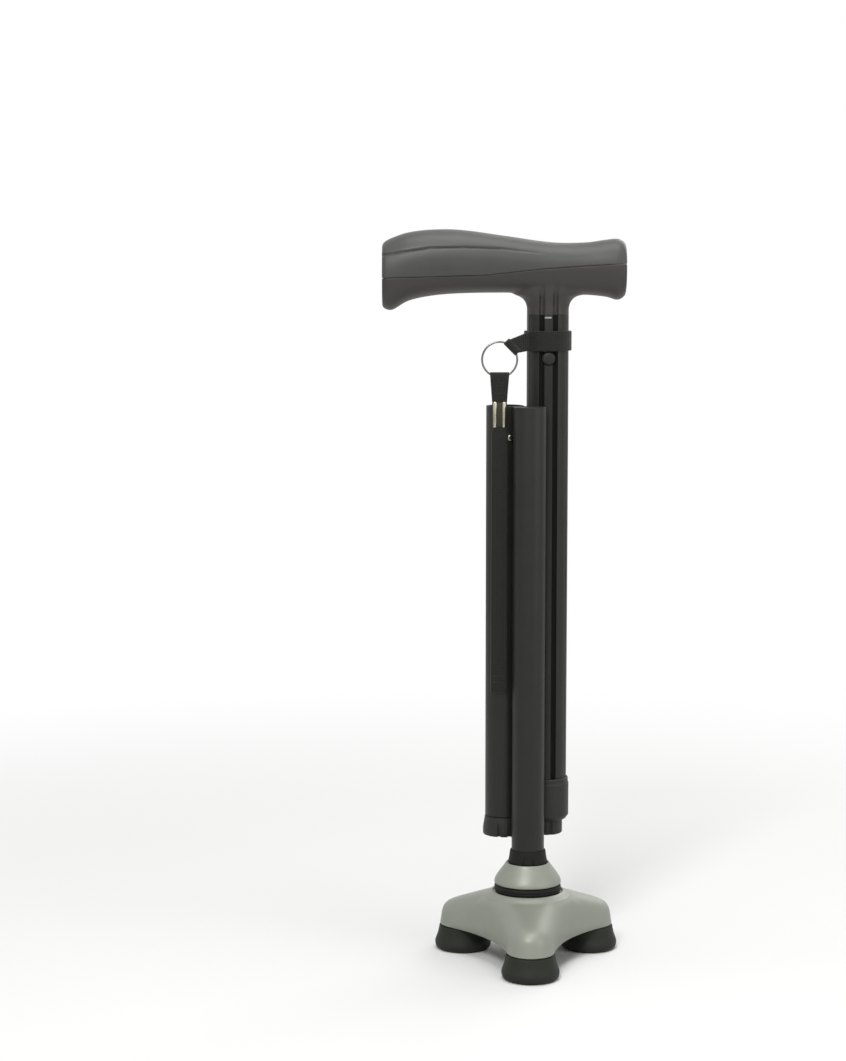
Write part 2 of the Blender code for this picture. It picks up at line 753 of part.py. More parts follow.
def smooth_between(stations, x):
    """Heights and half depth of the handle at a distance x, on a smooth curve through the stations."""
    last = len(stations) - 1
    index = 0
    while index < last - 1 and stations[index + 1][0] < x:
        index += 1
    before = stations[max(index - 1, 0)]
    start = stations[index]
    end = stations[index + 1]
    after = stations[min(index + 2, last)]
    share = (x - start[0]) / (end[0] - start[0])
    values = []
    for column in (1, 2, 3):
        span = end[0] - start[0]
        slope_in = (end[column] - before[column]) / (end[0] - before[0]) * span
        slope_out = (after[column] - start[column]) / (after[0] - start[0]) * span
        square = share * share
        cube = square * share
        values.append((2 * cube - 3 * square + 1) * start[column] + (cube - 2 * square + share) * slope_in
                      + (3 * square - 2 * cube) * end[column] + (cube - square) * slope_out)
    return values


def handle_ring(x, inset, points=32):
    """One upright section of the handle, drawn in by an inset."""
    station = min(max(x, handle_stations[0][0]), handle_stations[-1][0])
    top, bottom, half_depth = smooth_between(handle_stations, station)
    half_height = (top - bottom) / 2 - inset
    centre = stem_bottom + (top + bottom) / 2
    power = 2 / handle_squareness
    ring = []
    for step in range(points):
        angle = 2 * pi * (step + 0.5) / points
        side = cos(angle)
        rise = sin(angle)
        across = abs(side) ** power * (half_depth - inset) * (1 if side > 0 else -1)
        up = abs(rise) ** power * half_height * (1 if rise > 0 else -1)
        ring.append((x, across, centre + up))
    return ring


def handle_bar(name, inset, left, right, steps, finish=None):
    first = handle_stations[0][0]
    last = handle_stations[-1][0]
    rings = []
    if left < first:
        rings.append(handle_ring(left, inset + 2.2 * mm))
        left = first
    far_right = right
    right = min(right, last)
    for step in range(steps + 1):
        rings.append(handle_ring(left + (right - left) * step / steps, inset))
    if far_right > last:
        rings.append(handle_ring(far_right, inset + 2.2 * mm))
    return lofted(name, rings, finish)


def parting_region(name, lift, above):
    """The space over or under the parting line, seen from the front."""
    line = [(x, stem_bottom + z + lift) for x, z in parting_line]
    far = 2 * handle_right if above else -handle_right
    outline = line + [(line[-1][0], stem_bottom + far), (line[0][0], stem_bottom + far)]
    return extruded(name, outline, -handle_right, handle_right, None, "Y")


def stem_rings():
    """The stem: round like the tube, then flared along the handle into its underside."""
    sections = [(stem_bottom, stem_radius, stem_radius)]
    flare_start = stem_bottom + 2.8 * mm
    for step in range(4):
        angle = radians(30 * step)
        along = stem_radius + stem_flare * (1 - cos(angle))
        sections.append((flare_start + stem_flare * sin(angle), along, stem_radius + mm * (1 - cos(angle))))
    widest = sections[-1]
    sections.append((widest[0] + 9 * mm, widest[1], widest[2]))
    unit_circle = circle(1, 32)
    return [[(along * x, across * y, height) for x, y in unit_circle] for height, along, across in sections]


def make_handle_body():
    body = handle_bar("handle_body", 0, handle_left, handle_right, 18, "hard body")
    combine(body, parting_region("below_parting", 0, False), "INTERSECT")
    core_inset = grip_thickness + fit_gap
    core_left = handle_left + grip_end + fit_gap
    core_right = handle_right - grip_end - fit_gap
    combine(body, handle_bar("handle_core", core_inset, core_left, core_right, 12), "UNION")
    combine(body, lofted("handle_stem", stem_rings()), "UNION")
    bore = extruded("stem_bore", d_outline(post_radius + fit_gap, post_flat + fit_gap), stem_bottom - mm,
                    post_top + fit_gap)
    combine(body, bore)
    combine(body, extruded("bolt_hole", shifted(circle(bolt_shank_radius + fit_gap, 16), 0, bolt_back),
                           stem_bottom, bolt_seat + mm))
    combine(body, extruded("bolt_recess", shifted(circle(bolt_head_radius + fit_gap, 20), 0, bolt_back),
                           bolt_seat, bolt_seat + handle_right))
    for side in (-1, 1):
        flute = shifted(circle(groove_width / 2, 12), side * flute_offset, -stem_radius)
        combine(body, extruded("stem_flute", flute, stem_bottom - mm, stem_bottom + 14 * mm))
    place(body, upper_axis, 0, handle)


def make_handle_grip():
    grip = handle_bar("handle_grip", 0, handle_left, handle_right, 18, "soft grip")
    combine(grip, parting_region("above_parting", fit_gap, True), "INTERSECT")
    hollow = handle_bar("grip_hollow", grip_thickness, handle_left + grip_end, handle_right - grip_end, 12)
    combine(grip, hollow)
    place(grip, upper_axis, 0, handle)


def make_handle_bolt():
    head = bolt_head_radius
    shank = bolt_shank_radius
    seat = bolt_seat + fit_gap
    top = seat + bolt_head_height
    profile = ((0, seat - bolt_length), (shank, seat - bolt_length), (shank, seat), (head, seat),
               (head, top - 0.6 * mm), (head - 0.6 * mm, top), (0, top))
    bolt = turned("handle_bolt", profile, "bright steel", 20)
    place(bolt, upper_axis + Vector((0, bolt_back, 0)), 0, handle)


# Wrist strap

def make_strap_band():
    inner = upper_tube_radius + fit_gap
    outer = upper_tube_radius + band_proud
    top = band_bottom + band_height
    edge = 0.4 * mm
    profile = ((outer - edge, band_bottom), (outer, band_bottom + edge), (outer, top - edge),
               (outer - edge, top), (inner, top), (inner, band_bottom))
    band = turned("strap_band", profile, "webbing", 40)
    eye = eye_point - Vector((upper_axis.x, upper_axis.y, 0))
    along = Vector((1, 0, -1)).normalized()
    eye_tube = peg("tab_eye", eye - along * eye_length / 2, eye + along * eye_length / 2, eye_radius)
    root = -outer * bearing(tab_azimuth - 180) * 0.97
    reach = Vector((eye.x, eye.y, 0)) - root
    length = reach.length + 0.5 * mm
    web_outline = ((-0.3 * mm, band_bottom + edge), (length, eye.z - eye_length / 2 * 0.9),
                   (length - 3 * mm, eye.z + eye_length / 2), (-0.3 * mm, top - edge))
    web = extruded("tab_web", web_outline, -tab_thickness / 2, tab_thickness / 2, None, "Y")
    web.location = root
    web.rotation_euler = (0, 0, atan2(reach.y, reach.x))
    combine(band, web, "UNION")
    combine(band, eye_tube, "UNION")
    far = eye_length
    combine(band, peg("eye_bore", eye - along * far, eye + along * far, eye_bore))
    place(band, upper_axis, 0, upper_section)


def wire_ring(name, wire, finish=None):
    """An upright ring seen from the front, of a given wire radius."""
    bm = bmesh.new()
    section = [bm.verts.new((ring_radius + across, back, 0)) for across, back in circle(wire, 8)]
    edges = [bm.edges.new((section[step - 1], section[step])) for step in range(8)]
    bmesh.ops.spin(bm, geom=section + edges, axis=(0, 1, 0), angle=2 * pi, steps=36, use_merge=True)
    return add_piece(name, bm, finish)


def make_split_ring():
    ring = wire_ring("split_ring", ring_wire, "bright steel")
    ring.location = ring_centre - eye_point
    ring.parent = strap_ring


def make_strap_fold():
    """Tapered webbing folded round the foot of the split ring."""
    top = strap_point.z + ring_wire + fit_gap + strap_thickness
    bottom = top - fold_height
    half_top = fold_top_width / 2
    half_bottom = strap_width / 2 - 0.3 * mm
    depth = ring_wire + fit_gap + strap_thickness
    shoulder = top + 1.6 * mm
    outline = ((-half_bottom, bottom), (half_bottom, bottom), (half_top, shoulder), (-half_top, shoulder))
    fold = extruded("strap_fold", outline, -depth, depth, "webbing", "Y")
    eye = wire_ring("fold_eye", ring_wire + fit_gap)
    eye.location = (0, 0, ring_centre.z)
    combine(fold, eye)
    inside = ring_radius - ring_wire - fit_gap - strap_thickness
    through = Vector((0, 2 * depth, 0))
    middle = Vector((0, 0, ring_centre.z))
    combine(fold, peg("fold_sag", middle - through, middle + through, inside, 32))
    place(fold, strap_point, 0, strap)


def make_strap_crimp():
    """Bright sleeve that holds the fold above and the loop below."""
    top = crimp_top
    half = crimp_width / 2
    half_depth = crimp_thickness / 2
    low = (-half, -half_depth, top - crimp_height)
    sleeve = box("strap_crimp", low, (half, half_depth, top), "bright steel")
    slot = box("crimp_slot", (-half + crimp_wall, -half_depth + crimp_wall, top - crimp_height - mm),
               (half - crimp_wall, half_depth - crimp_wall, top - crimp_height * 0.45))
    combine(sleeve, slot)
    place(sleeve, strap_point, 0, strap)


def make_wrist_loop():
    """A long loop of flat webbing that hangs closed, with a squared end."""
    top = crimp_top - crimp_height * 0.45 - fit_gap
    bottom = crimp_top - crimp_height - loop_length
    half = strap_thickness + strap_loop_gap / 2
    half_width = strap_width / 2
    neck = crimp_width / 2 - crimp_wall - fit_gap
    neck_depth = crimp_thickness / 2 - crimp_wall - fit_gap
    loop_top = crimp_top - crimp_height - fit_gap
    outline = ((-half_width, bottom), (half_width, bottom), (half_width, loop_top - mm), (neck, loop_top),
               (-neck, loop_top), (-half_width, loop_top - mm))
    loop = extruded("wrist_loop", outline, -half, half, "webbing", "Y")
    combine(loop, box("loop_neck", (-neck, -neck_depth, loop_top - 2 * mm), (neck, neck_depth, top)), "UNION")
    gap = box("loop_gap", (-strap_width, -strap_loop_gap / 2, bottom + 2 * strap_thickness),
              (strap_width, strap_loop_gap / 2, loop_top - 6 * mm))
    combine(loop, gap)
    place(loop, strap_point, 0, strap)


# Ankle: a ball stud under the lower tube, held in a socket on the base

def make_ankle_boot():
    bottom = neck_bottom
    inner = lower_tube_radius + fit_gap
    top = bottom + boot_height
    lip = inner + boot_lip
    profile = ((inner, bottom), (boot_radius - 0.1 * mm, bottom), (boot_radius, bottom + mm),
               (boot_radius - 0.45 * mm, bottom + 3 * mm), (lip, top - 0.8 * mm),
               (lip - 0.2 * mm, top), (inner, top))
    boot = turned("ankle_boot", profile, "black rubber")
    for side in (-1, 1):
        left = side * key_notch_offset - 0.55 * mm
        notch = box("boot_notch", (left, -2 * boot_radius, bottom - mm),
                    (left + 1.1 * mm, -inner - 0.5 * mm, bottom + 4 * mm))
        combine(boot, notch)
    place(boot, lower_axis, 0, lower_section)


def make_ankle_dome():
    hole = stud_neck_radius + fit_gap
    inner = dome_radius - dome_wall
    ceiling = dome_top - dome_top_wall
    shoulder = boot_radius + 0.5 * mm
    profile = ((hole, dome_top), (boot_radius + 0.3 * mm, dome_top), (shoulder, dome_top + 0.8 * mm),
               (shoulder + 0.5 * mm, dome_top + 0.7 * mm), (shoulder + 1.3 * mm, dome_top - 0.7 * mm),
               (dome_radius - 2.6 * mm, dome_top - 3.6 * mm), (dome_radius - 0.8 * mm, dome_top - 6.3 * mm),
               (dome_radius - 0.1 * mm, dome_top - 7.9 * mm), (dome_radius, dome_bottom),
               (inner, dome_bottom), (inner - 0.2 * mm, dome_bottom + 2.8 * mm), (inner - 3.6 * mm, ceiling),
               (hole, ceiling))
    place(turned("ankle_dome", profile, "grey plastic", 40), lower_axis, 0, lower_section)


def make_ankle_stud():
    neck = stud_neck_radius
    shank = stud_shank_radius
    start = degrees(acos(neck / ball_radius))
    ball = arc((0, ankle_height), ball_radius, -90, start, 8)
    ball[0] = (0, ball[0][1])
    top = neck_bottom + stud_shank_length
    profile = ball + [(neck, dome_top), (shank, neck_bottom), (shank, top), (0, top)]
    place(turned("ankle_stud", profile, "bright steel", 28), lower_axis, 0, lower_section)
    nut_top = dome_top - dome_top_wall - fit_gap
    bore = neck + fit_gap
    nut = extruded("stud_nut", circle(nut_radius, 6), nut_top - nut_height, nut_top, "bright steel")
    combine(nut, extruded("nut_bore", circle(bore, 20), nut_top - nut_height - mm, nut_top + mm))
    place(nut, lower_axis, 0, lower_section)


def make_stud_insert():
    outer = lower_tube_radius - lower_tube_wall - fit_gap
    bore = stud_shank_radius + fit_gap
    bore_top = neck_bottom + stud_shank_length + fit_gap
    top = neck_bottom + stud_insert_length
    profile = ((outer, neck_bottom), (outer, top), (0, top), (0, bore_top), (bore, bore_top),
               (bore, neck_bottom))
    place(turned("stud_insert", profile, "black plastic", 28), lower_axis, 0, lower_section)


def make_ankle_ring():
    bottom = land_height + fit_gap
    top = dome_bottom - fit_gap
    bulge = 0.5 * mm
    profile = ((ring_outer - bulge, bottom), (ring_outer, bottom + 0.8 * mm), (ring_outer, top - 0.8 * mm),
               (ring_outer - bulge, top), (ring_inner, top), (ring_inner, bottom))
    piece = turned("ankle_ring", profile, "black rubber", 40)
    place(piece, lower_axis, 0, ankle)


def make_socket_cap():
    bottom = land_height + fit_gap
    top = bottom + socket_cap_height
    outer = socket_cap_radius
    chamfer = 0.8 * mm
    low = degrees(asin((bottom - ankle_height) / socket_ball))
    high = degrees(asin((top - ankle_height) / socket_ball))
    cup = arc((0, ankle_height), socket_ball, high, low, 6)
    profile = cup + [(outer, bottom), (outer, top - chamfer), (outer - chamfer, top)]
    cap = turned("socket_cap", profile, "black plastic", 32)
    head_floor = top - screw_head_height - fit_gap
    for azimuth in screw_azimuths.values():
        spot = screw_circle * bearing(azimuth)
        recess = extruded("screw_recess", circle(screw_head_radius + fit_gap, 16), head_floor, top + mm)
        recess.location = spot
        combine(cap, recess)
        hole = extruded("screw_hole", circle(screw_radius + fit_gap, 12), bottom - mm, top)
        hole.location = spot
        combine(cap, hole)
    place(cap, lower_axis, 0, base)


def make_socket_screws():
    top = land_height + fit_gap + socket_cap_height
    seat = top - screw_head_height
    head = screw_head_radius
    shank = screw_radius
    profile = ((0, seat - screw_length), (shank, seat - screw_length), (shank, seat), (head, seat),
               (head, top), (0, top))
    for name, azimuth in screw_azimuths.items():
        screw = turned(name, profile, "bright steel", 12)
        place(screw, lower_axis + screw_circle * bearing(azimuth), 0, base)


def arm_outline(azimuth, drawn_in):
    """Distance from the axis to the side wall of the base: round arm ends and hollow sides between."""
    end = lobe_radius - drawn_in
    waist = waist_radius - drawn_in
    overhang = foot_circle ** 2 + waist ** 2 - foot_circle * waist - end ** 2
    hollow = overhang / (2 * end - 2 * waist + foot_circle)
    hollow_centre = waist + hollow
    off = abs((azimuth - foot_azimuths["foot_right"] + 60) % 120 - 60)
    share = end / (end + hollow)
    touch = Vector((foot_circle, 0)).lerp(hollow_centre * Vector((cos(radians(60)), sin(radians(60)))), share)
    if off <= degrees(atan2(touch.y, touch.x)):
        turn = radians(off)
        return foot_circle * cos(turn) + sqrt(end ** 2 - (foot_circle * sin(turn)) ** 2)
    turn = radians(60 - off)
    return hollow_centre * cos(turn) - sqrt(hollow ** 2 - (hollow_centre * sin(turn)) ** 2)


def top_height(radius):
    """Height of the base's sloping top at a distance from the axis."""
    return land_height - arm_slope * (radius - land_radius)


def base_form(name, drawn_in, bottom, collar, finish=None, directions=72):
    """Three armed form: side wall, rounded shoulder and sloping top, drawn in from all sides."""
    shoulder = base_shoulder - drawn_in * 0.5
    rings = []
    azimuths = [360 * step / directions for step in range(directions)]
    edges = [arm_outline(azimuth, drawn_in) for azimuth in azimuths]

    def ring(distance_and_height):
        points = []
        for azimuth, edge in zip(azimuths, edges):
            distance, height = distance_and_height(edge)
            points.append(distance * bearing(azimuth) + Vector((0, 0, height)))
        return points

    def shoulder_point(edge, tilt):
        foot = top_height(edge - shoulder) - drawn_in - shoulder
        return edge - shoulder * (1 - cos(radians(tilt))), foot + shoulder * sin(radians(tilt))

    rings.append(ring(lambda edge: (edge, bottom)))
    for tilt in (0, 30, 60, 90):
        rings.append(ring(lambda edge, tilt=tilt: shoulder_point(edge, tilt)))
    for share in (0.35, 0.7):
        def slope(edge, share=share):
            distance = (edge - shoulder) * (1 - share) + collar * share
            return distance, top_height(distance) - drawn_in
        rings.append(ring(slope))
    rings.append(ring(lambda edge: (collar, top_height(collar) - drawn_in)))
    return lofted(name, rings, finish)


def make_base_shell():
    shell = base_form("base_shell", 0, base_bottom, land_radius, "grey plastic")
    combine(shell, base_form("base_hollow", base_wall, base_bottom - 2 * mm, land_radius))
    boss = extruded("socket_boss", circle(boss_radius, 32), land_height - boss_depth, land_height - mm)
    combine(shell, boss, "UNION")
    cup = arc((0, ankle_height), socket_ball, -90, 0, 8)
    cup[0] = (0, cup[0][1])
    cup += [(socket_ball, land_height + 4 * mm), (0, land_height + 4 * mm)]
    combine(shell, turned("ball_cup", cup, None, 32))
    for azimuth in screw_azimuths.values():
        hole = extruded("boss_hole", circle(screw_radius + fit_gap, 12), screw_hole_bottom, land_height + mm)
        hole.location = screw_circle * bearing(azimuth)
        combine(shell, hole)
    place(shell, lower_axis, 0, base)


def make_feet():
    flare = foot_flare_radius
    seat = base_bottom - fit_gap
    stub = lobe_radius - base_wall - 2 * fit_gap
    stub_top = seat + foot_stub_height
    profile = ((0, 0), (0.78 * flare, 0), (0.935 * flare, 0.1 * seat), (flare, 0.29 * seat),
               (0.985 * flare, 0.48 * seat), (0.905 * flare, 0.735 * seat), (lobe_radius + fit_gap, seat),
               (stub, seat), (stub, stub_top - mm), (stub - mm, stub_top), (0, stub_top))
    for name, azimuth in foot_azimuths.items():
        foot = turned(name, profile, "foot rubber", 28)
        place(foot, lower_axis + foot_circle * bearing(azimuth), 0, base)


make_lower_tube()
make_lower_end_bush()
make_lower_cord()
make_upper_cord_link()
make_middle_tube()
make_middle_stop()
make_middle_socket()
make_middle_cord()
make_lower_cord_link()
make_upper_tube()
make_joint_collar()
make_joint_plug()
make_top_bush()
make_height_button()
make_button_spring()
make_handle_post()
make_post_plug()
make_handle_body()
make_handle_grip()
make_handle_bolt()
make_strap_band()
make_split_ring()
make_strap_fold()
make_strap_crimp()
make_wrist_loop()
make_ankle_boot()
make_ankle_dome()
make_ankle_stud()
make_stud_insert()
make_ankle_ring()
make_socket_cap()
make_socket_screws()
make_base_shell()
make_feet()
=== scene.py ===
import json
from math import atan2, copysign, cos, degrees, exp, pi, radians, sin, sqrt

import bmesh
import bpy
from mathutils import Matrix, Vector
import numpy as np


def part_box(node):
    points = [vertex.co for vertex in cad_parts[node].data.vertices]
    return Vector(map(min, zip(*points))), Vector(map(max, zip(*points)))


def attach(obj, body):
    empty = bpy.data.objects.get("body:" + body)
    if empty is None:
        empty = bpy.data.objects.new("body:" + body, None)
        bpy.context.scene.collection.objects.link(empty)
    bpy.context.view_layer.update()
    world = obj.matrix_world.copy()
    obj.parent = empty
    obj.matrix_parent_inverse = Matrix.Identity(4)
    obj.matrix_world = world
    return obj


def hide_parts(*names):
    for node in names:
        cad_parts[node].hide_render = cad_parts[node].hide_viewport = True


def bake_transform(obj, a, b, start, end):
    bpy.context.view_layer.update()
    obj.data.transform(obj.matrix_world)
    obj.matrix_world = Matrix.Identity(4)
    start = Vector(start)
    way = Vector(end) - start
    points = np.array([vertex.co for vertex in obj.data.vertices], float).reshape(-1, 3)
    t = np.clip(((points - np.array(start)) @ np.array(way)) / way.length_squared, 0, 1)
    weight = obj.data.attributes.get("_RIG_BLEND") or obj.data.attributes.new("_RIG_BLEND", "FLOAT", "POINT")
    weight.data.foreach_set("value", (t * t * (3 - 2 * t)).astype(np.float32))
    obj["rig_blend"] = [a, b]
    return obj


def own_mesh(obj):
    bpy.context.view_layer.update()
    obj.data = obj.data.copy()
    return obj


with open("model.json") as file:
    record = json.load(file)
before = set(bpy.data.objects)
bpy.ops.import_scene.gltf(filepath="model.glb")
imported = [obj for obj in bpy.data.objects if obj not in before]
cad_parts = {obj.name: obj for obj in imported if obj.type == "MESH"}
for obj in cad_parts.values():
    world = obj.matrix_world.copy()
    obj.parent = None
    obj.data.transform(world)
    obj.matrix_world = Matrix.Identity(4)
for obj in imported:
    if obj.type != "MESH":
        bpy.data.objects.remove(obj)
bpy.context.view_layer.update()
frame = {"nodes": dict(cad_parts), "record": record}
nodes = frame["nodes"]
mm = 0.001


# Small tools for node trees and objects

def linear(hexColour):
    channels = []
    for start in (1, 3, 5):
        value = int(hexColour[start:start + 2], 16) / 255
        channels.append(value / 12.92 if value <= 0.04045 else ((value + 0.055) / 1.055) ** 2.4)
    return (*channels, 1.0)


def addNode(tree, kind, settings=None, links=None):
    node = tree.nodes.new("ShaderNode" + kind)
    for key, value in (settings or {}).items():
        if key in node.inputs:
            node.inputs[key].default_value = value
        else:
            setattr(node, key, value)
    for key, output in (links or {}).items():
        tree.links.new(output, node.inputs[key])
    return node


def mixShaders(tree, share, first, second):
    mixed = addNode(tree, "MixShader", None, {0: share, 1: first.outputs[0], 2: second.outputs[0]})
    return mixed.outputs[0]


def newMaterial(name, colour, sockets):
    material = bpy.data.materials.new(name)
    material.use_nodes = True
    shader = material.node_tree.nodes["Principled BSDF"]
    for key, value in {"Base Color": linear(colour), **sockets}.items():
        shader.inputs[key].default_value = value
    return material, material.node_tree, shader


def addObject(name, data):
    made = bpy.data.objects.new(name, data)
    bpy.context.scene.collection.objects.link(made)
    return made


# Studio: camera, lamps, world, floor

cameraSettings = {
    "place": (-38.5 * mm, -1141.7 * mm, 330.0 * mm),
    "tiltDown": 6.08,  # degrees
    "lens": 82.6,  # mm, on a sensor 36 mm high
}
lampSettings = {
    # place in metres, where it looks, size in metres, watts
    "key": ((-0.35, -1.1, 1.15), (0, 0, 0.2), 0.45, 12),
    "fill": ((1.05, -0.75, 0.55), (0, 0, 0.15), 0.9, 3.6),
    "top": ((0.05, -0.1, 1.4), (0, 0, 0.2), 0.8, 8),
    "back": ((0.55, 0.95, 0.8), (0, 0, 0.2), 0.8, 4),
}
worldSettings = {"light": "#f4f5f6", "strength": 0.3}
floorSettings = {
    "radius": 6.0,  # metres
    "paper": "#f0f0ee",
    "shadows": (0.16, 0.8),  # metres from the cane between which the paper turns plain white
}


def setUpCamera():
    data = bpy.data.cameras.new("camera")
    data.lens = cameraSettings["lens"]
    data.sensor_width = 36
    data.clip_start = 0.05
    data.clip_end = 30
    camera = addObject("camera", data)
    camera.location = cameraSettings["place"]
    camera.rotation_euler = (radians(90 - cameraSettings["tiltDown"]), 0, 0)
    bpy.context.scene.camera = camera


def setUpLamps():
    for name, (place, aim, size, watts) in lampSettings.items():
        data = bpy.data.lights.new(name, "AREA")
        data.size = size
        data.energy = watts
        lamp = addObject(name, data)
        lamp.location = place
        lamp.rotation_euler = (Vector(aim) - Vector(place)).to_track_quat("-Z", "Y").to_euler()


def setUpWorld():
    # It lights the cane softly, and the camera and reflections see plain white
    world = bpy.data.worlds.new("studio")
    bpy.context.scene.world = world
    world.use_nodes = True
    tree = world.node_tree
    tree.nodes.clear()
    rays = addNode(tree, "LightPath").outputs
    seen = addNode(tree, "Math", {"operation": "MAXIMUM"},
                   {0: rays["Is Camera Ray"], 1: rays["Is Glossy Ray"]})
    lit = addNode(tree, "Background",
                  {"Color": linear(worldSettings["light"]), "Strength": worldSettings["strength"]})
    shown = addNode(tree, "Background", {"Color": linear("#ffffff"), "Strength": 1.0})
    addNode(tree, "OutputWorld", None, {"Surface": mixShaders(tree, seen.outputs[0], lit, shown)})


def makeFloor():
    # Paper that keeps the cane's shadow, and to the camera is as white as the world further out
    bm = bmesh.new()
    bmesh.ops.create_circle(bm, cap_ends=True, segments=64, radius=floorSettings["radius"])
    mesh = bpy.data.meshes.new("floor")
    bm.to_mesh(mesh)
    bm.free()
    floor = addObject("floor", mesh)
    material, tree, shader = newMaterial("seamless paper", floorSettings["paper"], {"Roughness": 0.9})
    place = addNode(tree, "TexCoord").outputs["Object"]
    reach = addNode(tree, "VectorMath", {"operation": "LENGTH"}, {0: place}).outputs["Value"]
    near, far = floorSettings["shadows"]
    back = addNode(tree, "MapRange",
                   {"interpolation_type": "SMOOTHSTEP", "From Min": near, "From Max": far}, {"Value": reach})
    rays = addNode(tree, "LightPath").outputs
    seen = addNode(tree, "Math", {"operation": "MULTIPLY"},
                   {0: rays["Is Camera Ray"], 1: back.outputs["Result"]})
    white = addNode(tree, "Emission", {"Color": linear("#ffffff"), "Strength": 1.0})
    tree.links.new(mixShaders(tree, seen.outputs[0], shader, white),
                   tree.nodes["Material Output"].inputs["Surface"])
    mesh.materials.append(material)


setUpCamera()
setUpLamps()
setUpWorld()
makeFloor()
bpy.context.scene.view_settings.view_transform = "Standard"
print("studio ready")


# Finishes

cloudSize = 14 * mm
waveLength = 0.314  # metres that one band of a wave texture takes at a scale of 1
grainFinishes = {
    # By the record's slots, and five more: name, dark and light colour, roughness, its spread, grain size
    # and depth in mm, then metallic, specular, and weight and roughness of a clear coat
    # Powder coat on drawn aluminium, and a darker, rougher copy of it for down in the rib's grooves, its
    # darkness painted shade
    "coated_aluminium": ("powder coated aluminium", "#181816", "#20201e", 0.42, 0.05, 0.9, 0.03, 0.0, 0.3),
    "paintedGrooveShade": ("painted shade in the grooves", "#0b0b09", "#121210", 0.6, 0.05, 0.9, 0.03, 0.0, 0.1),
    "paleLine": ("pale line finish", "#8f8f8b", "#a3a39f", 0.5, 0.05, 0.5, 0.004),
    "bare_aluminium": ("drawn aluminium", "#a9aaab", "#bcbdbe", 0.34, 0.06, 0.5, 0.01, 1.0),
    # Bright plate with a warm tone, and the duller spring steel of the ring
    "bright_steel": ("nickel plated steel", "#b0ac9c", "#c4c0b0", 0.24, 0.04, 0.8, 0.006, 1.0),
    "springSteel": ("plated spring steel", "#6c6c6a", "#83837f", 0.26, 0.04, 0.8, 0.006, 1.0),
    # Painted shade: a dark copy of the nickel for the channel between the crimp's bright bars
    "paintedShadeNickel": ("nickel with painted shade", "#2c2c20", "#3a3a2c", 0.5, 0.06, 0.8, 0.01, 0.6),
    "black_plastic": ("moulded acetal", "#1c1c1a", "#242422", 0.48, 0.06, 0.6, 0.02, 0.0, 0.3),
    # Sprayed with a little metal flake, so it lights up in soft streaks
    "grey_plastic": ("satin sprayed ABS", "#84877c", "#8d9085", 0.45, 0.05, 0.5, 0.015, 0.25, 0.5, 0.06,
                     0.45),
    "soft_grip": ("soft touch elastomer", "#383936", "#41423f", 0.46, 0.06, 0.7, 0.03, 0.0, 0.45),
    "hard_body": ("moulded nylon", "#363432", "#3d3b39", 0.44, 0.06, 0.7, 0.03, 0.0, 0.3),
    "black_rubber": ("moulded rubber", "#0f0f0d", "#151513", 0.62, 0.06, 0.6, 0.03, 0.0, 0.2),
    "foot_rubber": ("foot rubber", "#1e201b", "#262822", 0.6, 0.06, 0.6, 0.04, 0.0, 0.2),
    "thread": ("sewing thread", "#262626", "#303030", 0.6, 0.05, 0.3, 0.03, 0.0, 0.3),
    "elastic_cord": ("braided elastic cord", "#1a1a1a", "#242424", 0.8, 0.05, 0.7, 0.05, 0.0, 0.2),
}


def tint(tree, shader, share, dark, light):
    mixed = addNode(tree, "Mix", {"data_type": "RGBA"}, {"Factor": share})
    for socket in mixed.inputs:
        if socket.type == "RGBA":
            socket.default_value = linear(dark if socket.name == "A" else light)
    colour = next(output for output in mixed.outputs if output.type == "RGBA")
    tree.links.new(colour, shader.inputs["Base Color"])


def relief(tree, shader, height, strength, depth):
    bump = addNode(tree, "Bump", {"Strength": strength, "Distance": depth}, {"Height": height})
    tree.links.new(bump.outputs["Normal"], shader.inputs["Normal"])


def grainFinish(name, dark, light, roughness, spread, grainSize, grainDepth, metallic=0.0, specular=0.5,
                coat=0.0, coatRoughness=0.03):
    # A cast, moulded or sprayed surface: cloudy colour over centimetres, and a fine grain that catches light
    material, tree, shader = newMaterial(name, dark, {
        "Roughness": roughness, "Metallic": metallic, "Specular IOR Level": specular,
        "Coat Weight": coat, "Coat Roughness": coatRoughness})
    place = addNode(tree, "TexCoord").outputs["Object"]
    clouds = addNode(tree, "TexNoise", {"Scale": 1 / cloudSize, "Detail": 3.0, "Roughness": 0.55},
                     {"Vector": place})
    tint(tree, shader, clouds.outputs["Fac"], dark, light)
    grain = addNode(tree, "TexNoise",
                    {"Scale": 1 / (grainSize * mm), "Detail": 2.0, "Roughness": 0.5}, {"Vector": place})
    gloss = addNode(tree, "MapRange", {"To Min": roughness - spread, "To Max": roughness + spread},
                    {"Value": grain.outputs["Fac"]})
    tree.links.new(gloss.outputs["Result"], shader.inputs["Roughness"])
    relief(tree, shader, grain.outputs["Fac"], 0.6, grainDepth * mm)
    return material


def weaveFinish(name, dark, light, rib, pick):
    # Narrow nylon webbing: ribs across its face, broken by the picks that run along it
    material, tree, shader = newMaterial(name, dark, {
        "Roughness": 0.78, "Specular IOR Level": 0.2, "Sheen Weight": 0.15, "Sheen Roughness": 0.5})
    place = addNode(tree, "TexCoord").outputs["Object"]
    waves = []
    for direction, size, distortion in (("Z", rib, 0.4), ("X", pick, 0.6)):
        wave = addNode(tree, "TexWave", {
            "wave_type": "BANDS", "bands_direction": direction, "Scale": waveLength / size,
            "Distortion": distortion, "Detail": 1.0, "Detail Scale": 2.0}, {"Vector": place})
        waves.append(wave.outputs["Fac"])
    woven = addNode(tree, "Math", {"operation": "MULTIPLY"}, dict(enumerate(waves))).outputs["Value"]
    tint(tree, shader, woven, dark, light)
    relief(tree, shader, woven, 0.8, 0.12 * mm)
    return material


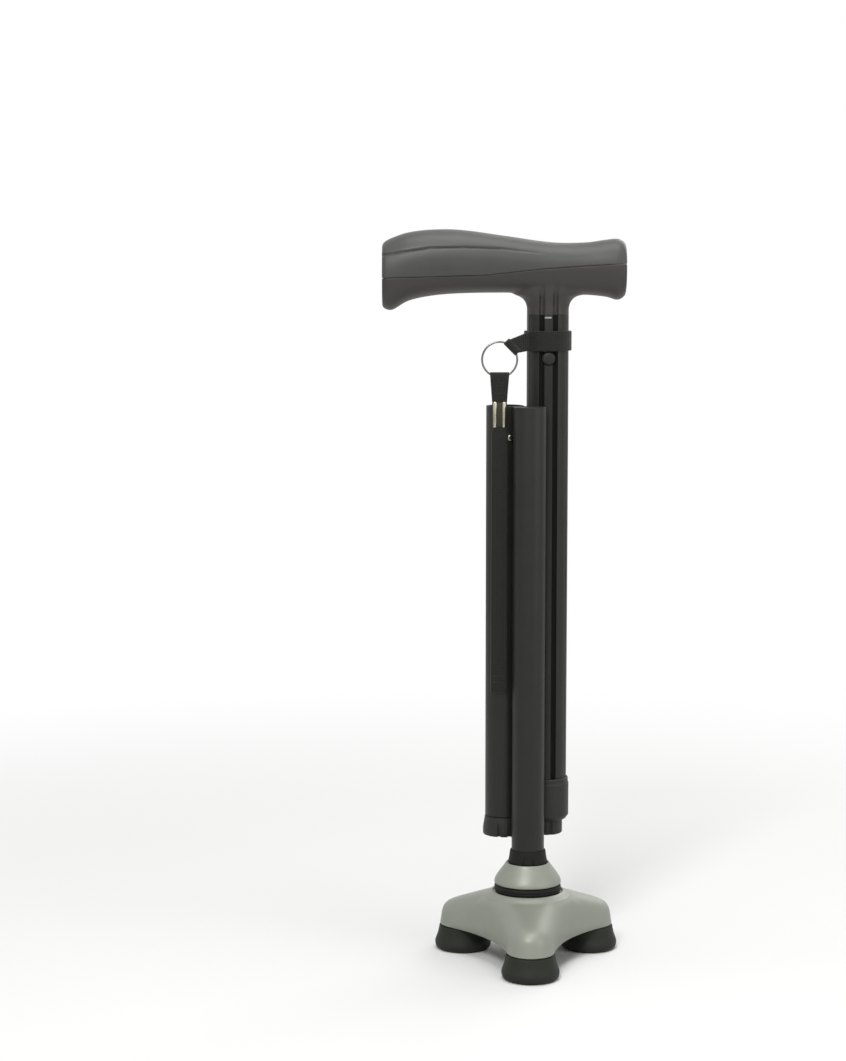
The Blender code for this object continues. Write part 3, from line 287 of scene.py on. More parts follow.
finishes = {key: grainFinish(*values) for key, values in grainFinishes.items()}
finishes["webbing"] = weaveFinish("woven nylon webbing", "#181817", "#2a2a28", 0.7 * mm, 0.9 * mm)


# Every solid of the frame gets its finish. Those that show are then copied and smoothed, or remade.

slotOf = {entry["node"]: entry["material_slot"] for entry in frame["record"]["subparts"]}
bodyOf = {name: body for body, names in frame["record"]["behaviour"]["bodies"].items() for name in names}
for name, solid in nodes.items():
    solid.data.materials.clear()
    solid.data.materials.append(finishes[slotOf[name]])
print("solids finished")


# Tools for the pieces: each rides where its solid rides, and stands for it

def middleOf(name):
    return Vector([(low + high) / 2 for low, high in zip(*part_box(name))])


def axisOf(name):
    return middleOf(name) * Vector((1, 1, 0))


lowerAxis = axisOf("lower_tube")
middleAxis = axisOf("middle_tube")
upperAxis = axisOf("upper_tube")


def above(height, points):
    # Outline points given in millimetres, as radius and height above a level
    return [(radius * mm, height + rise * mm) for radius, rise in points]


def bearing(turn):
    return Vector((cos(radians(turn)), sin(radians(turn)), 0))


def turned(angle, axis="Z"):
    return Matrix.Rotation(radians(angle), 3, axis)


def up(height):
    return Vector((0, 0, height))


def clamp(value):
    return min(max(value, 0), 1)


def heights(node):
    low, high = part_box(node)
    return low[2], high[2]


def wall(inner, outer, bottom, top):
    return (inner, bottom), (outer, bottom), (outer, top), (inner, top)


def addPiece(name, bm, finish=None, smoothAngle=35):
    bmesh.ops.remove_doubles(bm, verts=bm.verts, dist=1e-7)
    bmesh.ops.recalc_face_normals(bm, faces=bm.faces)
    mesh = bpy.data.meshes.new(name)
    bm.to_mesh(mesh)
    bm.free()
    shade(mesh, smoothAngle)
    if finish:
        mesh.materials.append(finishes[finish])
    return addObject(name, mesh)


def shade(mesh, angle=35):
    mesh.shade_smooth()
    mesh.set_sharp_from_angle(angle=radians(angle))


def rides(piece, node, body=None):
    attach(piece, body or bodyOf[node])
    return piece


def stands(piece, node, body=None):
    rides(piece, node, body)
    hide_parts(node)
    return piece


def makePiece(name, node, bm, smoothAngle=35):
    # A whole piece in the finish of its solid's slot
    return stands(addPiece(name, bm, slotOf[node], smoothAngle), node)


def evaluated(piece):
    bpy.context.view_layer.update()
    return piece.evaluated_get(bpy.context.evaluated_depsgraph_get())


def settled(piece):
    # The piece with its modifiers made real
    mesh = bpy.data.meshes.new_from_object(evaluated(piece))
    piece.modifiers.clear()
    piece.data = mesh
    return piece


def opened(mesh):
    bm = bmesh.new()
    bm.from_mesh(mesh)
    return bm


def modified(piece, kind, **settings):
    step = piece.modifiers.new(kind.lower(), kind)
    for key, value in settings.items():
        setattr(step, key, value)
    return piece


def cutAway(piece, tool, operation="DIFFERENCE"):
    settled(modified(piece, "BOOLEAN", operation=operation, object=tool, solver="EXACT"))
    bpy.data.objects.remove(tool, do_unlink=True)
    return piece


def softEdges(piece, width, segments=2, angle=40):
    return modified(piece, "BEVEL", width=width, segments=segments, limit_method="ANGLE",
                    angle_limit=radians(angle))


def evenMesh(piece, voxel):
    return opened(settled(modified(piece, "REMESH", mode="VOXEL", voxel_size=voxel)).data)


def smooth(bm, verts, passes=1):
    for _ in range(passes):
        bmesh.ops.smooth_vert(bm, verts=verts, factor=0.5, use_axis_x=True, use_axis_y=True, use_axis_z=True)


def put(bm, place, matrix=None):
    if matrix is not None:
        bmesh.ops.rotate(bm, cent=(0, 0, 0), matrix=matrix, verts=bm.verts)
    bmesh.ops.translate(bm, vec=place, verts=bm.verts)
    return bm


def fit(bm, verts, size, place):
    bmesh.ops.scale(bm, vec=size, verts=verts)
    bmesh.ops.translate(bm, vec=place, verts=verts)


def trim(bm, point, away):
    # Takes off what lies past a point in one direction
    bmesh.ops.bisect_plane(bm, geom=list(bm.verts) + list(bm.edges) + list(bm.faces), dist=1e-7,
                           plane_co=point, plane_no=away, clear_outer=True)


def closeHoles(bm):
    bmesh.ops.holes_fill(bm, edges=[edge for edge in bm.edges if edge.is_boundary], sides=0)


def grow(bm, edges):
    # The next row out of a row of edges: its verts and its edges
    grown = bmesh.ops.extrude_edge_only(bm, edges=edges)["geom"]
    return [[item for item in grown if isinstance(item, kind)]
            for kind in (bmesh.types.BMVert, bmesh.types.BMEdge)]


def lofted(count, rows, place, capped=False, closeBoth=True):
    # A ring of edges grown from row to row, with each vert placed by its direction and its row
    bm = bmesh.new()
    turnLayer = bm.verts.layers.float.new("turn")
    ring = bmesh.ops.create_circle(bm, cap_ends=capped, segments=count, radius=1)["verts"]
    for vert in ring:
        vert[turnLayer] = atan2(vert.co.y, vert.co.x)
    edges = list(bm.edges)
    for index, row in enumerate(rows):
        if index:
            ring, edges = grow(bm, edges)
        for vert in ring:
            vert.co = place(vert[turnLayer], row)
    if closeBoth:
        closeHoles(bm)
    else:
        bmesh.ops.contextual_create(bm, geom=edges)
    bm.verts.layers.float.remove(turnLayer)
    return bm


def rounded(profile, radius, steps=4):
    # The outline with each corner off the axis turned into a short curve
    points = [Vector(point) for point in profile]
    curve = []
    for index, corner in enumerate(points):
        if corner.x <= 0:
            curve.append(corner)
            continue
        toBefore = points[index - 1] - corner
        toAfter = points[(index + 1) % len(points)] - corner
        start = corner + toBefore.normalized() * min(radius, toBefore.length * 0.45)
        end = corner + toAfter.normalized() * min(radius, toAfter.length * 0.45)
        for step in range(steps + 1):
            share = step / steps
            curve.append(start * (1 - share) ** 2 + corner * 2 * share * (1 - share) + end * share ** 2)
    return curve


def lathe(profile, centre=(0, 0), segments=96):
    # Spins a closed outline of (radius, height) about an upright axis
    bm = bmesh.new()
    verts = [bm.verts.new((point[0], 0, point[1])) for point in profile]
    edges = [bm.edges.new((verts[index - 1], verts[index])) for index in range(len(verts))
             if verts[index - 1].co.x > 0 or verts[index].co.x > 0]
    bmesh.ops.spin(bm, geom=verts + edges, axis=(0, 0, 1), angle=2 * pi, steps=segments, use_merge=True)
    return put(bm, (centre[0], centre[1], 0))


def sector(profile, start, sweep, steps, centre):
    # A closed outline spun only part of the way round
    bm = bmesh.new()
    face = bm.faces.new([bm.verts.new((point[0], 0, point[1])) for point in profile])
    bmesh.ops.rotate(bm, cent=(0, 0, 0), matrix=turned(start), verts=bm.verts)
    bmesh.ops.spin(bm, geom=[face], axis=(0, 0, 1), angle=radians(sweep), steps=steps, use_merge=False)
    return put(bm, centre)


def block(name, low, high, turn=0.0, centre=(0, 0, 0)):
    # An upright box between two corners, turned about a centre; used as a cutter
    bm = bmesh.new()
    bmesh.ops.create_cube(bm, size=1)
    low, high = Vector(low), Vector(high)
    fit(bm, bm.verts, high - low, (low + high) / 2)
    return addPiece(name, put(bm, centre, turned(turn)))


def addTo(bm, part):
    # Another closed form in the same piece
    mesh = bpy.data.meshes.new("part")
    part.to_mesh(mesh)
    part.free()
    bm.from_mesh(mesh)
    bpy.data.meshes.remove(mesh)


# Tubes

tubeSizes = {
    "edge": 0.25 * mm,
    "lower": (7.8 * mm, 1.0 * mm),  # radius and wall
    "middle": (9.0 * mm, 0.85 * mm),
    "lane": (3.6 * mm, 7.2 * mm),  # width and depth of the slot that the cord bends out through
    "lowerFromMiddle": -52,  # direction in plan from the middle tube to the lower one
    "upper": 10.0 * mm,  # radius
    "bore": (8.8 * mm, 6.7 * mm),  # radius, and the flat that leaves metal behind the rib
    "rib": 3.9 * mm,
    "groove": (2.5 * mm, 7.9 * mm),  # width, and distance of its floor from the axis
    "sideLine": (0.45 * mm, 0.18 * mm),  # fine extruded lines at the tube's sides: width, depth
    "sideLineTurns": (26, 154),
    "buttonHeight": 288.8 * mm,
    "opening": 3.4 * mm,  # radius of the button's hole
    "upperEdge": 0.12 * mm,
    "mark": (0.75 * mm, 0.9 * mm, 18),  # height, distance below the tube's mouth, degrees it spans
}
buttonPlace = upperAxis + up(tubeSizes["buttonHeight"])


def makeTube(name, radius, thickness, laneTurn):
    bottom, top = heights(name)
    width, depth = tubeSizes["lane"]
    profile = rounded(wall(radius - thickness, radius, bottom, top), tubeSizes["edge"])
    centre = axisOf(name)
    lane = block("lane", (0, -width / 2, top - depth), (2 * radius, width / 2, top + mm), laneTurn, centre)
    stands(cutAway(addPiece(name + "_coated", lathe(profile, centre), "coated_aluminium"), lane), name)


def makeUpperTube():
    bottom, top = heights("upper_tube")
    below, past = bottom - mm, top + mm
    radius = tubeSizes["upper"]
    profile = rounded(wall(0, radius, bottom, top), tubeSizes["edge"])
    tube = addPiece("upper_tube_coated", lathe(profile, upperAxis, 144), "coated_aluminium")

    inside, flat = tubeSizes["bore"]
    bore = lathe(wall(0, inside, below, past), segments=144)
    trim(bore, (0, -flat, 0), (0, -1, 0))
    closeHoles(bore)
    cutAway(tube, addPiece("bore", put(bore, upperAxis)))

    grooveWidth, grooveFloor = tubeSizes["groove"]
    inner = tubeSizes["rib"] / 2
    outer = inner + grooveWidth
    for near, far in ((-outer, -inner), (inner, outer)):
        cutAway(tube, block("groove", (near, -2 * radius, below), (far, -grooveFloor, past), 0, upperAxis))
    width, depth = tubeSizes["sideLine"]
    for turn in tubeSizes["sideLineTurns"]:
        cutAway(tube, block("line", (radius - depth, -width / 2, below), (2 * radius, width / 2, past), -turn,
                            upperAxis))
    hole = lathe(wall(0, tubeSizes["opening"], 6 * mm, 15 * mm), segments=48)
    cutAway(tube, addPiece("button opening", put(hole, buttonPlace, turned(90, "X"))))

    shade(tube.data)
    tube.data.materials.clear()
    # The second finish is the coat darkened with painted shade, put on the faces down in the grooves
    for finish in ("coated_aluminium", "paintedGrooveShade"):
        tube.data.materials.append(finishes[finish])
    slack = 0.02 * mm
    for face in tube.data.polygons:
        across = abs(face.center.x - upperAxis.x)
        forward = upperAxis.y - face.center.y
        inShadedGroove = inner - slack < across < outer + slack and forward > grooveFloor - 0.1 * mm
        face.material_index = int(inShadedGroove)
    stands(softEdges(tube, tubeSizes["upperEdge"]), "upper_tube")


def makePaleLine():
    # Short pale line across the rib at the tube's mouth
    height, drop, span = tubeSizes["mark"]
    top = heights("upper_tube")[1] - drop
    radius = tubeSizes["upper"]
    outline = wall(radius - 0.04 * mm, radius + 0.02 * mm, top - height, top)
    mark = addPiece("pale_line", sector(outline, -101, span, 8, upperAxis), "paleLine")
    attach(mark, "upper_section")


makeTube("lower_tube", *tubeSizes["lower"], tubeSizes["lowerFromMiddle"] + 180)
makeTube("middle_tube", *tubeSizes["middle"], tubeSizes["lowerFromMiddle"])
makeUpperTube()
makePaleLine()
print("tubes made")


# Joint fittings along the tubes

brokenEdge = 0.15 * mm
collarSizes = {"outer": 11.25, "bead": 10.9, "bore": 10.3, "stop": 8.6, "stopHeight": 2.3}  # mm
linerSizes = {"inner": 8.62 * mm, "outer": 9.1 * mm, "height": 7.4 * mm, "start": -130, "sweep": 80}
rivetTurn = 15
rivetOutline = ((0, 6.5), (1, 6.5), (1, 9.3), (1.6, 9.3), (1.5, 9.65), (1, 9.8), (0, 9.8))
buttonFront = 10.9  # mm from the tube's axis
buttonOutline = ((0, 0.5), (3, 0.5), (3, 1.5), (1.5, 1.5), (1.5, 5.7), (3.8, 5.7), (3.8, 6.4), (3.1, 6.4),
                 (3.1, buttonFront - 0.8), (2.5, buttonFront - 0.2), (1.2, buttonFront), (0, buttonFront))


def makeJointCollar():
    bottom, top = heights("joint_collar")
    outer, bead, bore, stop, rise = collarSizes.values()
    profile = above(bottom, ((outer - 1.4, 0), (outer, 2)))
    profile += above(top, ((outer, -3), (bead, -2.4), (bead, -0.5), (outer - 0.8, 0), (bore, 0)))
    profile += above(bottom, ((bore, rise), (stop, rise), (stop, 0)))
    makePiece("joint_collar_moulded", "joint_collar", lathe(rounded(profile, 0.35 * mm), upperAxis))


def makePin(node, outline, soft, segments, place, turn):
    # A small turned part that points out of a tube, its outline's heights measured from the axis
    bm = lathe(rounded(above(0, outline), soft), segments=segments)
    makePiece(node + "_domed", node, put(bm, place, turned(turn) @ turned(90, "X")))


def makeSocketLiner():
    # The wall behind the socket's two notches
    inner, outer, height, start, sweep = linerSizes.values()
    bottom = heights("middle_socket")[0] + 0.15 * mm
    profile = rounded(wall(inner, outer, bottom, bottom + height), 0.1 * mm, 2)
    bm = sector(profile, start, sweep, 24, middleAxis)
    rides(addPiece("socket_notch_wall", bm, "black_plastic"), "middle_socket")


def edgedCopy(node):
    # Small parts keep the solid's shape, with its edges broken as the real ones are
    bm = opened(nodes[node].data)
    bmesh.ops.remove_doubles(bm, verts=bm.verts, dist=1e-6)
    bmesh.ops.dissolve_limit(bm, angle_limit=radians(0.6), verts=bm.verts, edges=bm.edges)
    return stands(softEdges(addPiece(node + "_finished", bm, slotOf[node]), brokenEdge), node)


def makeButtonSpring():
    spring = settled(edgedCopy("button_spring"))
    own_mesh(spring)


makeSocketLiner()
makeJointCollar()
rivetPlace = middleAxis + up(middleOf("middle_rivet").z)
makePin("middle_rivet", rivetOutline, 0.2 * mm, 32, rivetPlace, rivetTurn)
makePin("height_button", buttonOutline, 0.3 * mm, 64, buttonPlace, 0)
for node in ("lower_end_bush", "middle_stop", "middle_socket", "joint_plug", "top_bush", "handle_post",
             "post_plug", "handle_bolt", "ankle_stud", "stud_nut", "stud_insert", "socket_cap",
             "socket_screw_1", "socket_screw_2", "socket_screw_3", "lower_cord_anchor", "lower_cord_ferrule",
             "upper_cord_ferrule"):
    edgedCopy(node)
makeButtonSpring()
print("fittings made")


# Ankle

pivotHeight = 34.75 * mm
bootSizes = {"inner": 8.1, "lip": 8.6, "height": 6.6, "notch": (1.1, 2.4)}  # mm; notch: width, distance
domeSizes = {"height": 46.3 * mm, "radius": 16.1, "shoulder": 9.9, "foot": -9.3}  # the rest in mm
ringSizes = {"inner": 12.6 * mm, "outer": 16.0 * mm, "draft": 0.5 * mm, "chamfer": 0.9 * mm}


def makeBoot():
    bottom = heights("ankle_boot")[0]
    inner, lip, height, (width, distance) = bootSizes.values()
    outline = ((inner, 0), (9.3, 0), (9.4, 1), (8.95, 3), (lip, height - 0.8), (lip - 0.2, height),
               (inner, height))
    bm = lathe(rounded(above(bottom, outline), 0.6 * mm), lowerAxis)
    boot = addPiece("ankle_boot_moulded", bm, "black_rubber")
    for side in (-1, 1):
        left = (side * distance - width / 2) * mm
        cutAway(boot, block("notch", (left, -20 * mm, bottom - mm),
                            (left + width * mm, -(inner + 0.4) * mm, bottom + 4 * mm), 0, lowerAxis))
    shade(boot.data)
    stands(boot, "ankle_boot")


def makeDome():
    height, radius, shoulder, foot = domeSizes.values()
    outline = ((3.3, 0), (9.7, 0), (shoulder, 0.8), (shoulder + 0.5, 0.7), (shoulder + 1.3, -0.7),
               (radius - 2.6, -3.6), (radius - 0.8, -6.3), (radius - 0.1, -7.9), (radius, foot), (13.2, foot),
               (13, foot + 2.8), (9.6, -2.5), (3.3, -2.5))
    bm = lathe(rounded(above(height, outline), 1.1 * mm, 6), lowerAxis, 128)
    makePiece("ankle_dome_satin", "ankle_dome", bm)


def makeRubberRing():
    # Two halves that meet at the pivot, each bending between the bodies it touches
    inner, outer, draft, chamfer = ringSizes.values()
    low, high = heights("ankle_ring")
    halves = (("ankle_ring_upper", 1, high, "lower_section", "ankle"),
              ("ankle_ring_lower", -1, low, "ankle", "base"))
    for name, side, far, first, second in halves:
        profile = [(inner, pivotHeight), (outer, pivotHeight), (outer, far - side * chamfer),
                   (outer - draft, far), (inner, far)]
        bm = lathe(rounded(profile[::side], 0.3 * mm, 3), lowerAxis)
        bmesh.ops.subdivide_edges(bm, cuts=3, edges=[
            edge for edge in bm.edges if abs(edge.verts[0].co.z - edge.verts[1].co.z) > 0.6 * mm])
        half = addPiece(name, bm, "black_rubber")
        span = (far, pivotHeight)[::side]
        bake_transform(half, first, second, start=(lowerAxis.x, lowerAxis.y, span[0]),
                 end=(lowerAxis.x, lowerAxis.y, span[1]))
        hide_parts("ankle_ring")


# Base

baseSizes = {
    "footCircle": 35.5 * mm,
    "lobe": 11.3 * mm,  # radius of an arm's end
    "waist": 23.2 * mm,  # from the axis to the hollow between two arms
    "wall": 2.4 * mm,
    "bottom": 12.0 * mm,
    "rim": 0.4 * mm,
    "land": (17.0 * mm, 32.5 * mm),  # radius and height of the flat that the rubber ring sits on
    "slope": 0.345,
    "tipRound": 4.3 * mm,  # how softly the top turns down at an arm's end, and at its flanks
    "flankRound": 8.6 * mm,
    "collar": 3.6 * mm,  # width of the band round the ring
    "lip": 0.9 * mm,  # raised edge round the rubber ring
    "cup": 6.3 * mm,  # radius of the ball's cup
    "cornerSteps": 9, "topSteps": 13, "softPasses": 22,
}
footSizes = {
    "turns": {"foot_front": -90, "foot_left": 150, "foot_right": 30},
    "flare": 13.8, "seat": 11.7, "stub": 8.3,  # mm: widest radius, height under the shell, radius inside it
}
landRadius, landHeight = baseSizes["land"]


def flankArcs(drawnIn):
    # Round arm ends on the foot circle, and the hollow arcs that join them
    circle = baseSizes["footCircle"]
    end = baseSizes["lobe"] - drawnIn
    waist = baseSizes["waist"] - drawnIn
    hollow = (circle ** 2 + waist ** 2 - circle * waist - end ** 2) / (2 * end - 2 * waist + circle)
    return circle, end, hollow, waist + hollow


def fromArm(turn):
    # Degrees between a direction and the nearest arm
    return abs((degrees(turn) + 30) % 120 - 60)


def sideWall(turn, drawnIn):
    # Distance from the axis to the base's side
    circle, end, hollow, hollowCentre = flankArcs(drawnIn)
    off = fromArm(turn)
    touch = Vector((circle, 0, 0)).lerp(bearing(60) * hollowCentre, end / (end + hollow))
    if off <= degrees(atan2(touch.y, touch.x)):
        angle = radians(off)
        return circle * cos(angle) + sqrt(end ** 2 - (circle * sin(angle)) ** 2)
    angle = radians(60 - off)
    return hollowCentre * cos(angle) - sqrt(hollow ** 2 - (hollowCentre * sin(angle)) ** 2)


def topHeight(radius):
    return landHeight - baseSizes["slope"] * (radius - landRadius)


def shoulderDrop(turn, distance, drawnIn):
    # How far the top has turned down at a place, by its distance square to the side wall
    circle, end, hollow, hollowCentre = flankArcs(drawnIn)
    middle = bearing(60) * hollowCentre
    place = bearing(fromArm(turn)) * distance
    around = atan2(place.y, place.x - circle)
    if around < atan2(middle.y, middle.x - circle):
        gap = end - (place - Vector((circle, 0, 0))).length
    else:
        gap = (place - middle).length - hollow
    flank = sin(min(around, pi / 2)) ** 2
    soft = baseSizes["tipRound"] * (1 - flank) + baseSizes["flankRound"] * flank
    soft = min(soft, sideWall(turn, 0) - landRadius - baseSizes["collar"] + 1.2 * mm)
    return soft * (1 - sqrt(1 - (1 - clamp(gap / soft)) ** 2))


def wallRows(drawnIn):
    # From the rim up the side, round the shoulder, and over the top to the band round the ring
    rim, corner = baseSizes["rim"], baseSizes["cornerSteps"]
    bottom = baseSizes["bottom"]
    collar = landRadius + baseSizes["collar"] - drawnIn
    rows = [lambda turn: (sideWall(turn, rim), bottom), lambda turn: (sideWall(turn, drawnIn), bottom + rim)]
    for step in range(corner + baseSizes["topSteps"]):
        def row(turn, step=step):
            edge = sideWall(turn, drawnIn)
            rounding = min(baseSizes["tipRound"], edge - collar - 0.4 * mm)
            share = max(step - corner, 0) / baseSizes["topSteps"]
            distance = edge - rounding * (1 - cos(radians(10 * min(step, corner))))
            distance += (collar - distance) * share
            drop = shoulderDrop(turn, distance, drawnIn) * (1 - share ** 4)
            return distance, topHeight(distance) - drawnIn - drop
        rows.append(row)
    return rows


def baseForm(rows, points):
    # The rows follow the arms, and the points after them are the same all the way round
    rows = rows + [lambda turn, point=point: point for point in points]

    def place(turn, row):
        distance, height = row(turn)
        return lowerAxis.x + distance * cos(turn), lowerAxis.y + distance * sin(turn), height

    return lofted(240, rows, place, closeBoth=False)


def makeBase():
    # Up the outside, over the top and into the ball's cup; then the inner wall, from the same rim
    collar, lip, cup = baseSizes["collar"], baseSizes["lip"], baseSizes["cup"]
    band = []
    for step in range(9):
        # a rounded collar that rises to hold the rubber ring
        share = step / 8
        radius = landRadius + collar * (1 - share)
        band.append((radius, topHeight(radius) + lip * sin(share * pi / 2) ** 1.5))
    for inward, rise in ((0.25, 0.85), (0.4, 0.5), (0.45, 0)):
        band.append((landRadius - inward * mm, landHeight + lip * rise))
    band.append((12.0 * mm, landHeight))
    dips = [radians(-21 - 60 * step / 8) for step in range(9)]
    bowl = [(cup * cos(dip), pivotHeight + cup * sin(dip)) for dip in dips]
    outside = baseForm(wallRows(0), band + bowl)
    inner = [(landRadius, landHeight - baseSizes["wall"])]
    inner += above(landHeight, ((12.4, -2.6), (12, -3), (12, -11.2), (11.7, -11.5), (2, -11.5)))
    inside = baseForm(wallRows(baseSizes["wall"]), inner)
    smooth(outside, [vert for vert in outside.verts if vert.co.z > baseSizes["bottom"] + 4 * mm
                     and (vert.co.xy - lowerAxis.xy).length > landRadius + collar + 0.3 * mm],
           baseSizes["softPasses"])
    addTo(outside, inside)
    makePiece("base_shell_satin", "base_shell", outside, 50)


def makeFeet():
    flare, seat, stub = footSizes["flare"], footSizes["seat"], footSizes["stub"]
    outline = ((0, 0.35), (0.6 * flare, 0.35), (0.64 * flare, 0), (0.87 * flare, 0),
               (0.965 * flare, 0.09 * seat), (flare, 0.24 * seat), (0.985 * flare, 0.36 * seat),
               (0.9 * flare, 0.62 * seat), (0.86 * flare, 0.84 * seat), (11.6, seat - 0.3), (11.3, seat),
               (stub, seat), (stub, seat + 6), (stub - 1, seat + 7), (0, seat + 7))
    profile = rounded(above(0, outline), 0.9 * mm, 5)
    for name, turn in footSizes["turns"].items():
        centre = lowerAxis + baseSizes["footCircle"] * bearing(turn)
        makePiece(name + "_rubber", name, lathe(profile, centre))


makeBoot()
makeDome()
makeRubberRing()
makeBase()
makeFeet()
print("ankle and base made")


# Handle: hard lower body with the stem, soft grip over it

handleSizes = {
    "left": -79.1, "right": 36.8,  # mm from the stem's axis
    "ends": (1.8, 2.1),  # mm over which an end is rounded, and how far in it draws
    "squareness": 2.3,
    "stemBottom": 309.7 * mm,
    "stemRadius": 10.0 * mm,
    "stemLevels": (-2.0 * mm, 2.6 * mm, 16 * mm),  # its foot, where it starts to flare, and its head
    "flare": (6.4 * mm, 1.2 * mm),  # along the handle and across it
    "voxel": 0.5 * mm,
    # where stem and body are smoothed into one: half length along the handle, from, to, and passes
    "blend": (24 * mm, 3.5 * mm, 19 * mm, 24),
    "seamRound": 0.5 * mm,
    "seamGap": 0.06 * mm,
    # distance from the middle, half width, depth, height and run out of the two flutes in the stem
    "flute": (3.2 * mm, 1.15 * mm, 1.7 * mm, 14.0 * mm, 7.0 * mm),
    "crease": (0.7 * mm, 0.5 * mm, 25.0 * mm),  # depth, half width and run out of the line along the grip
}
# Distance from the stem's axis, then top and underside above the stem's lower end, then half depth, in mm
handleStations = ((-78.4, 34.1, 2.5, 13.4), (-74.5, 36.1, 1.9, 14.2), (-67, 38.6, 6.1, 15),
                  (-56, 40, 8.6, 15.4), (-42, 39.9, 9.8, 15.5), (-20, 37, 10.1, 15),
                  (2, 34, 9.7, 14), (18, 34, 9.1, 13.7), (28, 35.3, 8.1, 13.9),
                  (33, 35.7, 6.7, 14), (36.1, 34.5, 7.9, 13.4))
seamLine = ((-90, 16.6), (-30, 18.5), (-3, 21.3), (18, 22.7), (45, 24.1))
creaseLine = ((-90, 26.3), (-74.7, 28.5), (-56, 31.3), (-40, 31.5), (-22.4, 30.9), (-3.2, 28.5),
              (12, 27))


def along(line, x):
    # Height of a line at a distance x
    x /= mm
    for start, end in zip(line, line[1:]):
        if x <= end[0]:
            share = max((x - start[0]) / (end[0] - start[0]), 0)
            return (start[1] + (end[1] - start[1]) * share) * mm
    return line[-1][1] * mm


def sectionAt(x):
    # Top, underside and half depth at a distance x, on a smooth curve through the stations
    stations = handleStations
    last = len(stations) - 1
    x = min(max(x, stations[0][0]), stations[last][0])
    index = next(i for i in range(last) if x <= stations[i + 1][0])
    before, start = stations[max(index - 1, 0)], stations[index]
    end, after = stations[index + 1], stations[min(index + 2, last)]
    span = end[0] - start[0]
    share = (x - start[0]) / span
    blend = (3 - 2 * share) * share ** 2
    slopeIn = span * share * (1 - share) ** 2 / (end[0] - before[0])
    slopeOut = span * (share - 1) * share ** 2 / (after[0] - start[0])
    return [start[i] + (end[i] - start[i]) * blend + (end[i] - before[i]) * slopeIn
            + (after[i] - start[i]) * slopeOut for i in (1, 2, 3)]


def handleForm(around, steps):
    # A ring of edges pushed along the handle, taking each section's shape, with softly rounded ends
    left, right, (length, draw) = (handleSizes[key] for key in ("left", "right", "ends"))
    angles = [radians(15 * step) for step in range(7)]
    ends = [(length * (1 - cos(angle)), draw * (1 - sin(angle))) for angle in angles]
    rows = [(left + run, inset) for run, inset in ends]
    rows += [(left + length + (right - left - 2 * length) * step / steps, 0.0) for step in range(1, steps)]
    rows += [(right - run, inset) for run, inset in reversed(ends)]
    power = 2 / handleSizes["squareness"]

    def place(turn, row):
        x, inset = row
        top, bottom, depth = sectionAt(x)
        side, rise = cos(turn), sin(turn)
        across = copysign(abs(side) ** power, side) * (depth - inset)
        up = copysign(abs(rise) ** power, rise) * ((top - bottom) / 2 - inset)
        return Vector((x, across, (top + bottom) / 2 + up)) * mm

    bm = lofted(around, rows, place)
    bmesh.ops.recalc_face_normals(bm, faces=bm.faces)
    return bm


def cutAtSeam(bm, keepAbove, lift):
    # The seam is laid flat, cut, given a rounded rim, closed, and put back on its slope
    for vert in bm.verts:
        vert.co.z -= along(seamLine, vert.co.x) + lift
    side = 1 if keepAbove else -1
    rim = handleSizes["seamRound"]
    trim(bm, (0, 0, side * rim), (0, 0, -side))
    directions = bm.verts.layers.float_vector.new("outward")
    edges = [edge for edge in bm.edges if edge.is_boundary]
    bm.normal_update()
    for edge in edges:
        for vert in edge.verts:
            flat = Vector((vert.normal.x, vert.normal.y, 0))
            vert[directions] = flat.normalized() if flat.length > 1e-6 else Vector()
    dropped, drawn = 0.0, 0.0
    for step in range(1, 5):
        angle = radians(90 * step / 4)
        lower, inward = rim * sin(angle), rim * (1 - cos(angle))
        verts, edges = grow(bm, edges)
        for vert in verts:
            vert.co -= vert[directions] * (inward - drawn)
            vert.co.z -= side * (lower - dropped)
        dropped, drawn = lower, inward
    closeHoles(bm)
    bm.verts.layers.float_vector.remove(directions)
    for vert in bm.verts:
        vert.co.z += along(seamLine, vert.co.x) + lift
    return put(bm, (upperAxis.x, upperAxis.y, handleSizes["stemBottom"]))


def makeGrip():
    bm = handleForm(256, 150)
    depth, halfWidth, runOut = handleSizes["crease"]
    bm.normal_update()
    for vert in bm.verts:
        away = (vert.co.z - along(creaseLine, vert.co.x)) / halfWidth
        if abs(away) < 3 and abs(vert.co.y) > 5 * mm:
            vert.co -= vert.normal * depth * clamp(-vert.co.x / runOut) * exp(-away ** 2)
    cutAtSeam(bm, True, handleSizes["seamGap"])
    makePiece("handle_grip_moulded", "handle_grip", bm, 50)


def stemForm():
    # Straight, then flared into the body, wide along the handle and narrow across it
    radius = handleSizes["stemRadius"]
    foot, start, head = handleSizes["stemLevels"]
    flare, crossFlare = handleSizes["flare"]
    rows = [(foot, radius, radius)]
    for step in range(9):
        angle = radians(11.25 * step)
        rows.append((start + flare * sin(angle), radius + flare * (1 - cos(angle)),
                     radius + crossFlare * (1 - cos(angle))))
    rows.append((head, *rows[-1][1:]))
    return lofted(96, rows, lambda turn, row: (row[1] * cos(turn), row[2] * sin(turn), row[0]), capped=True)


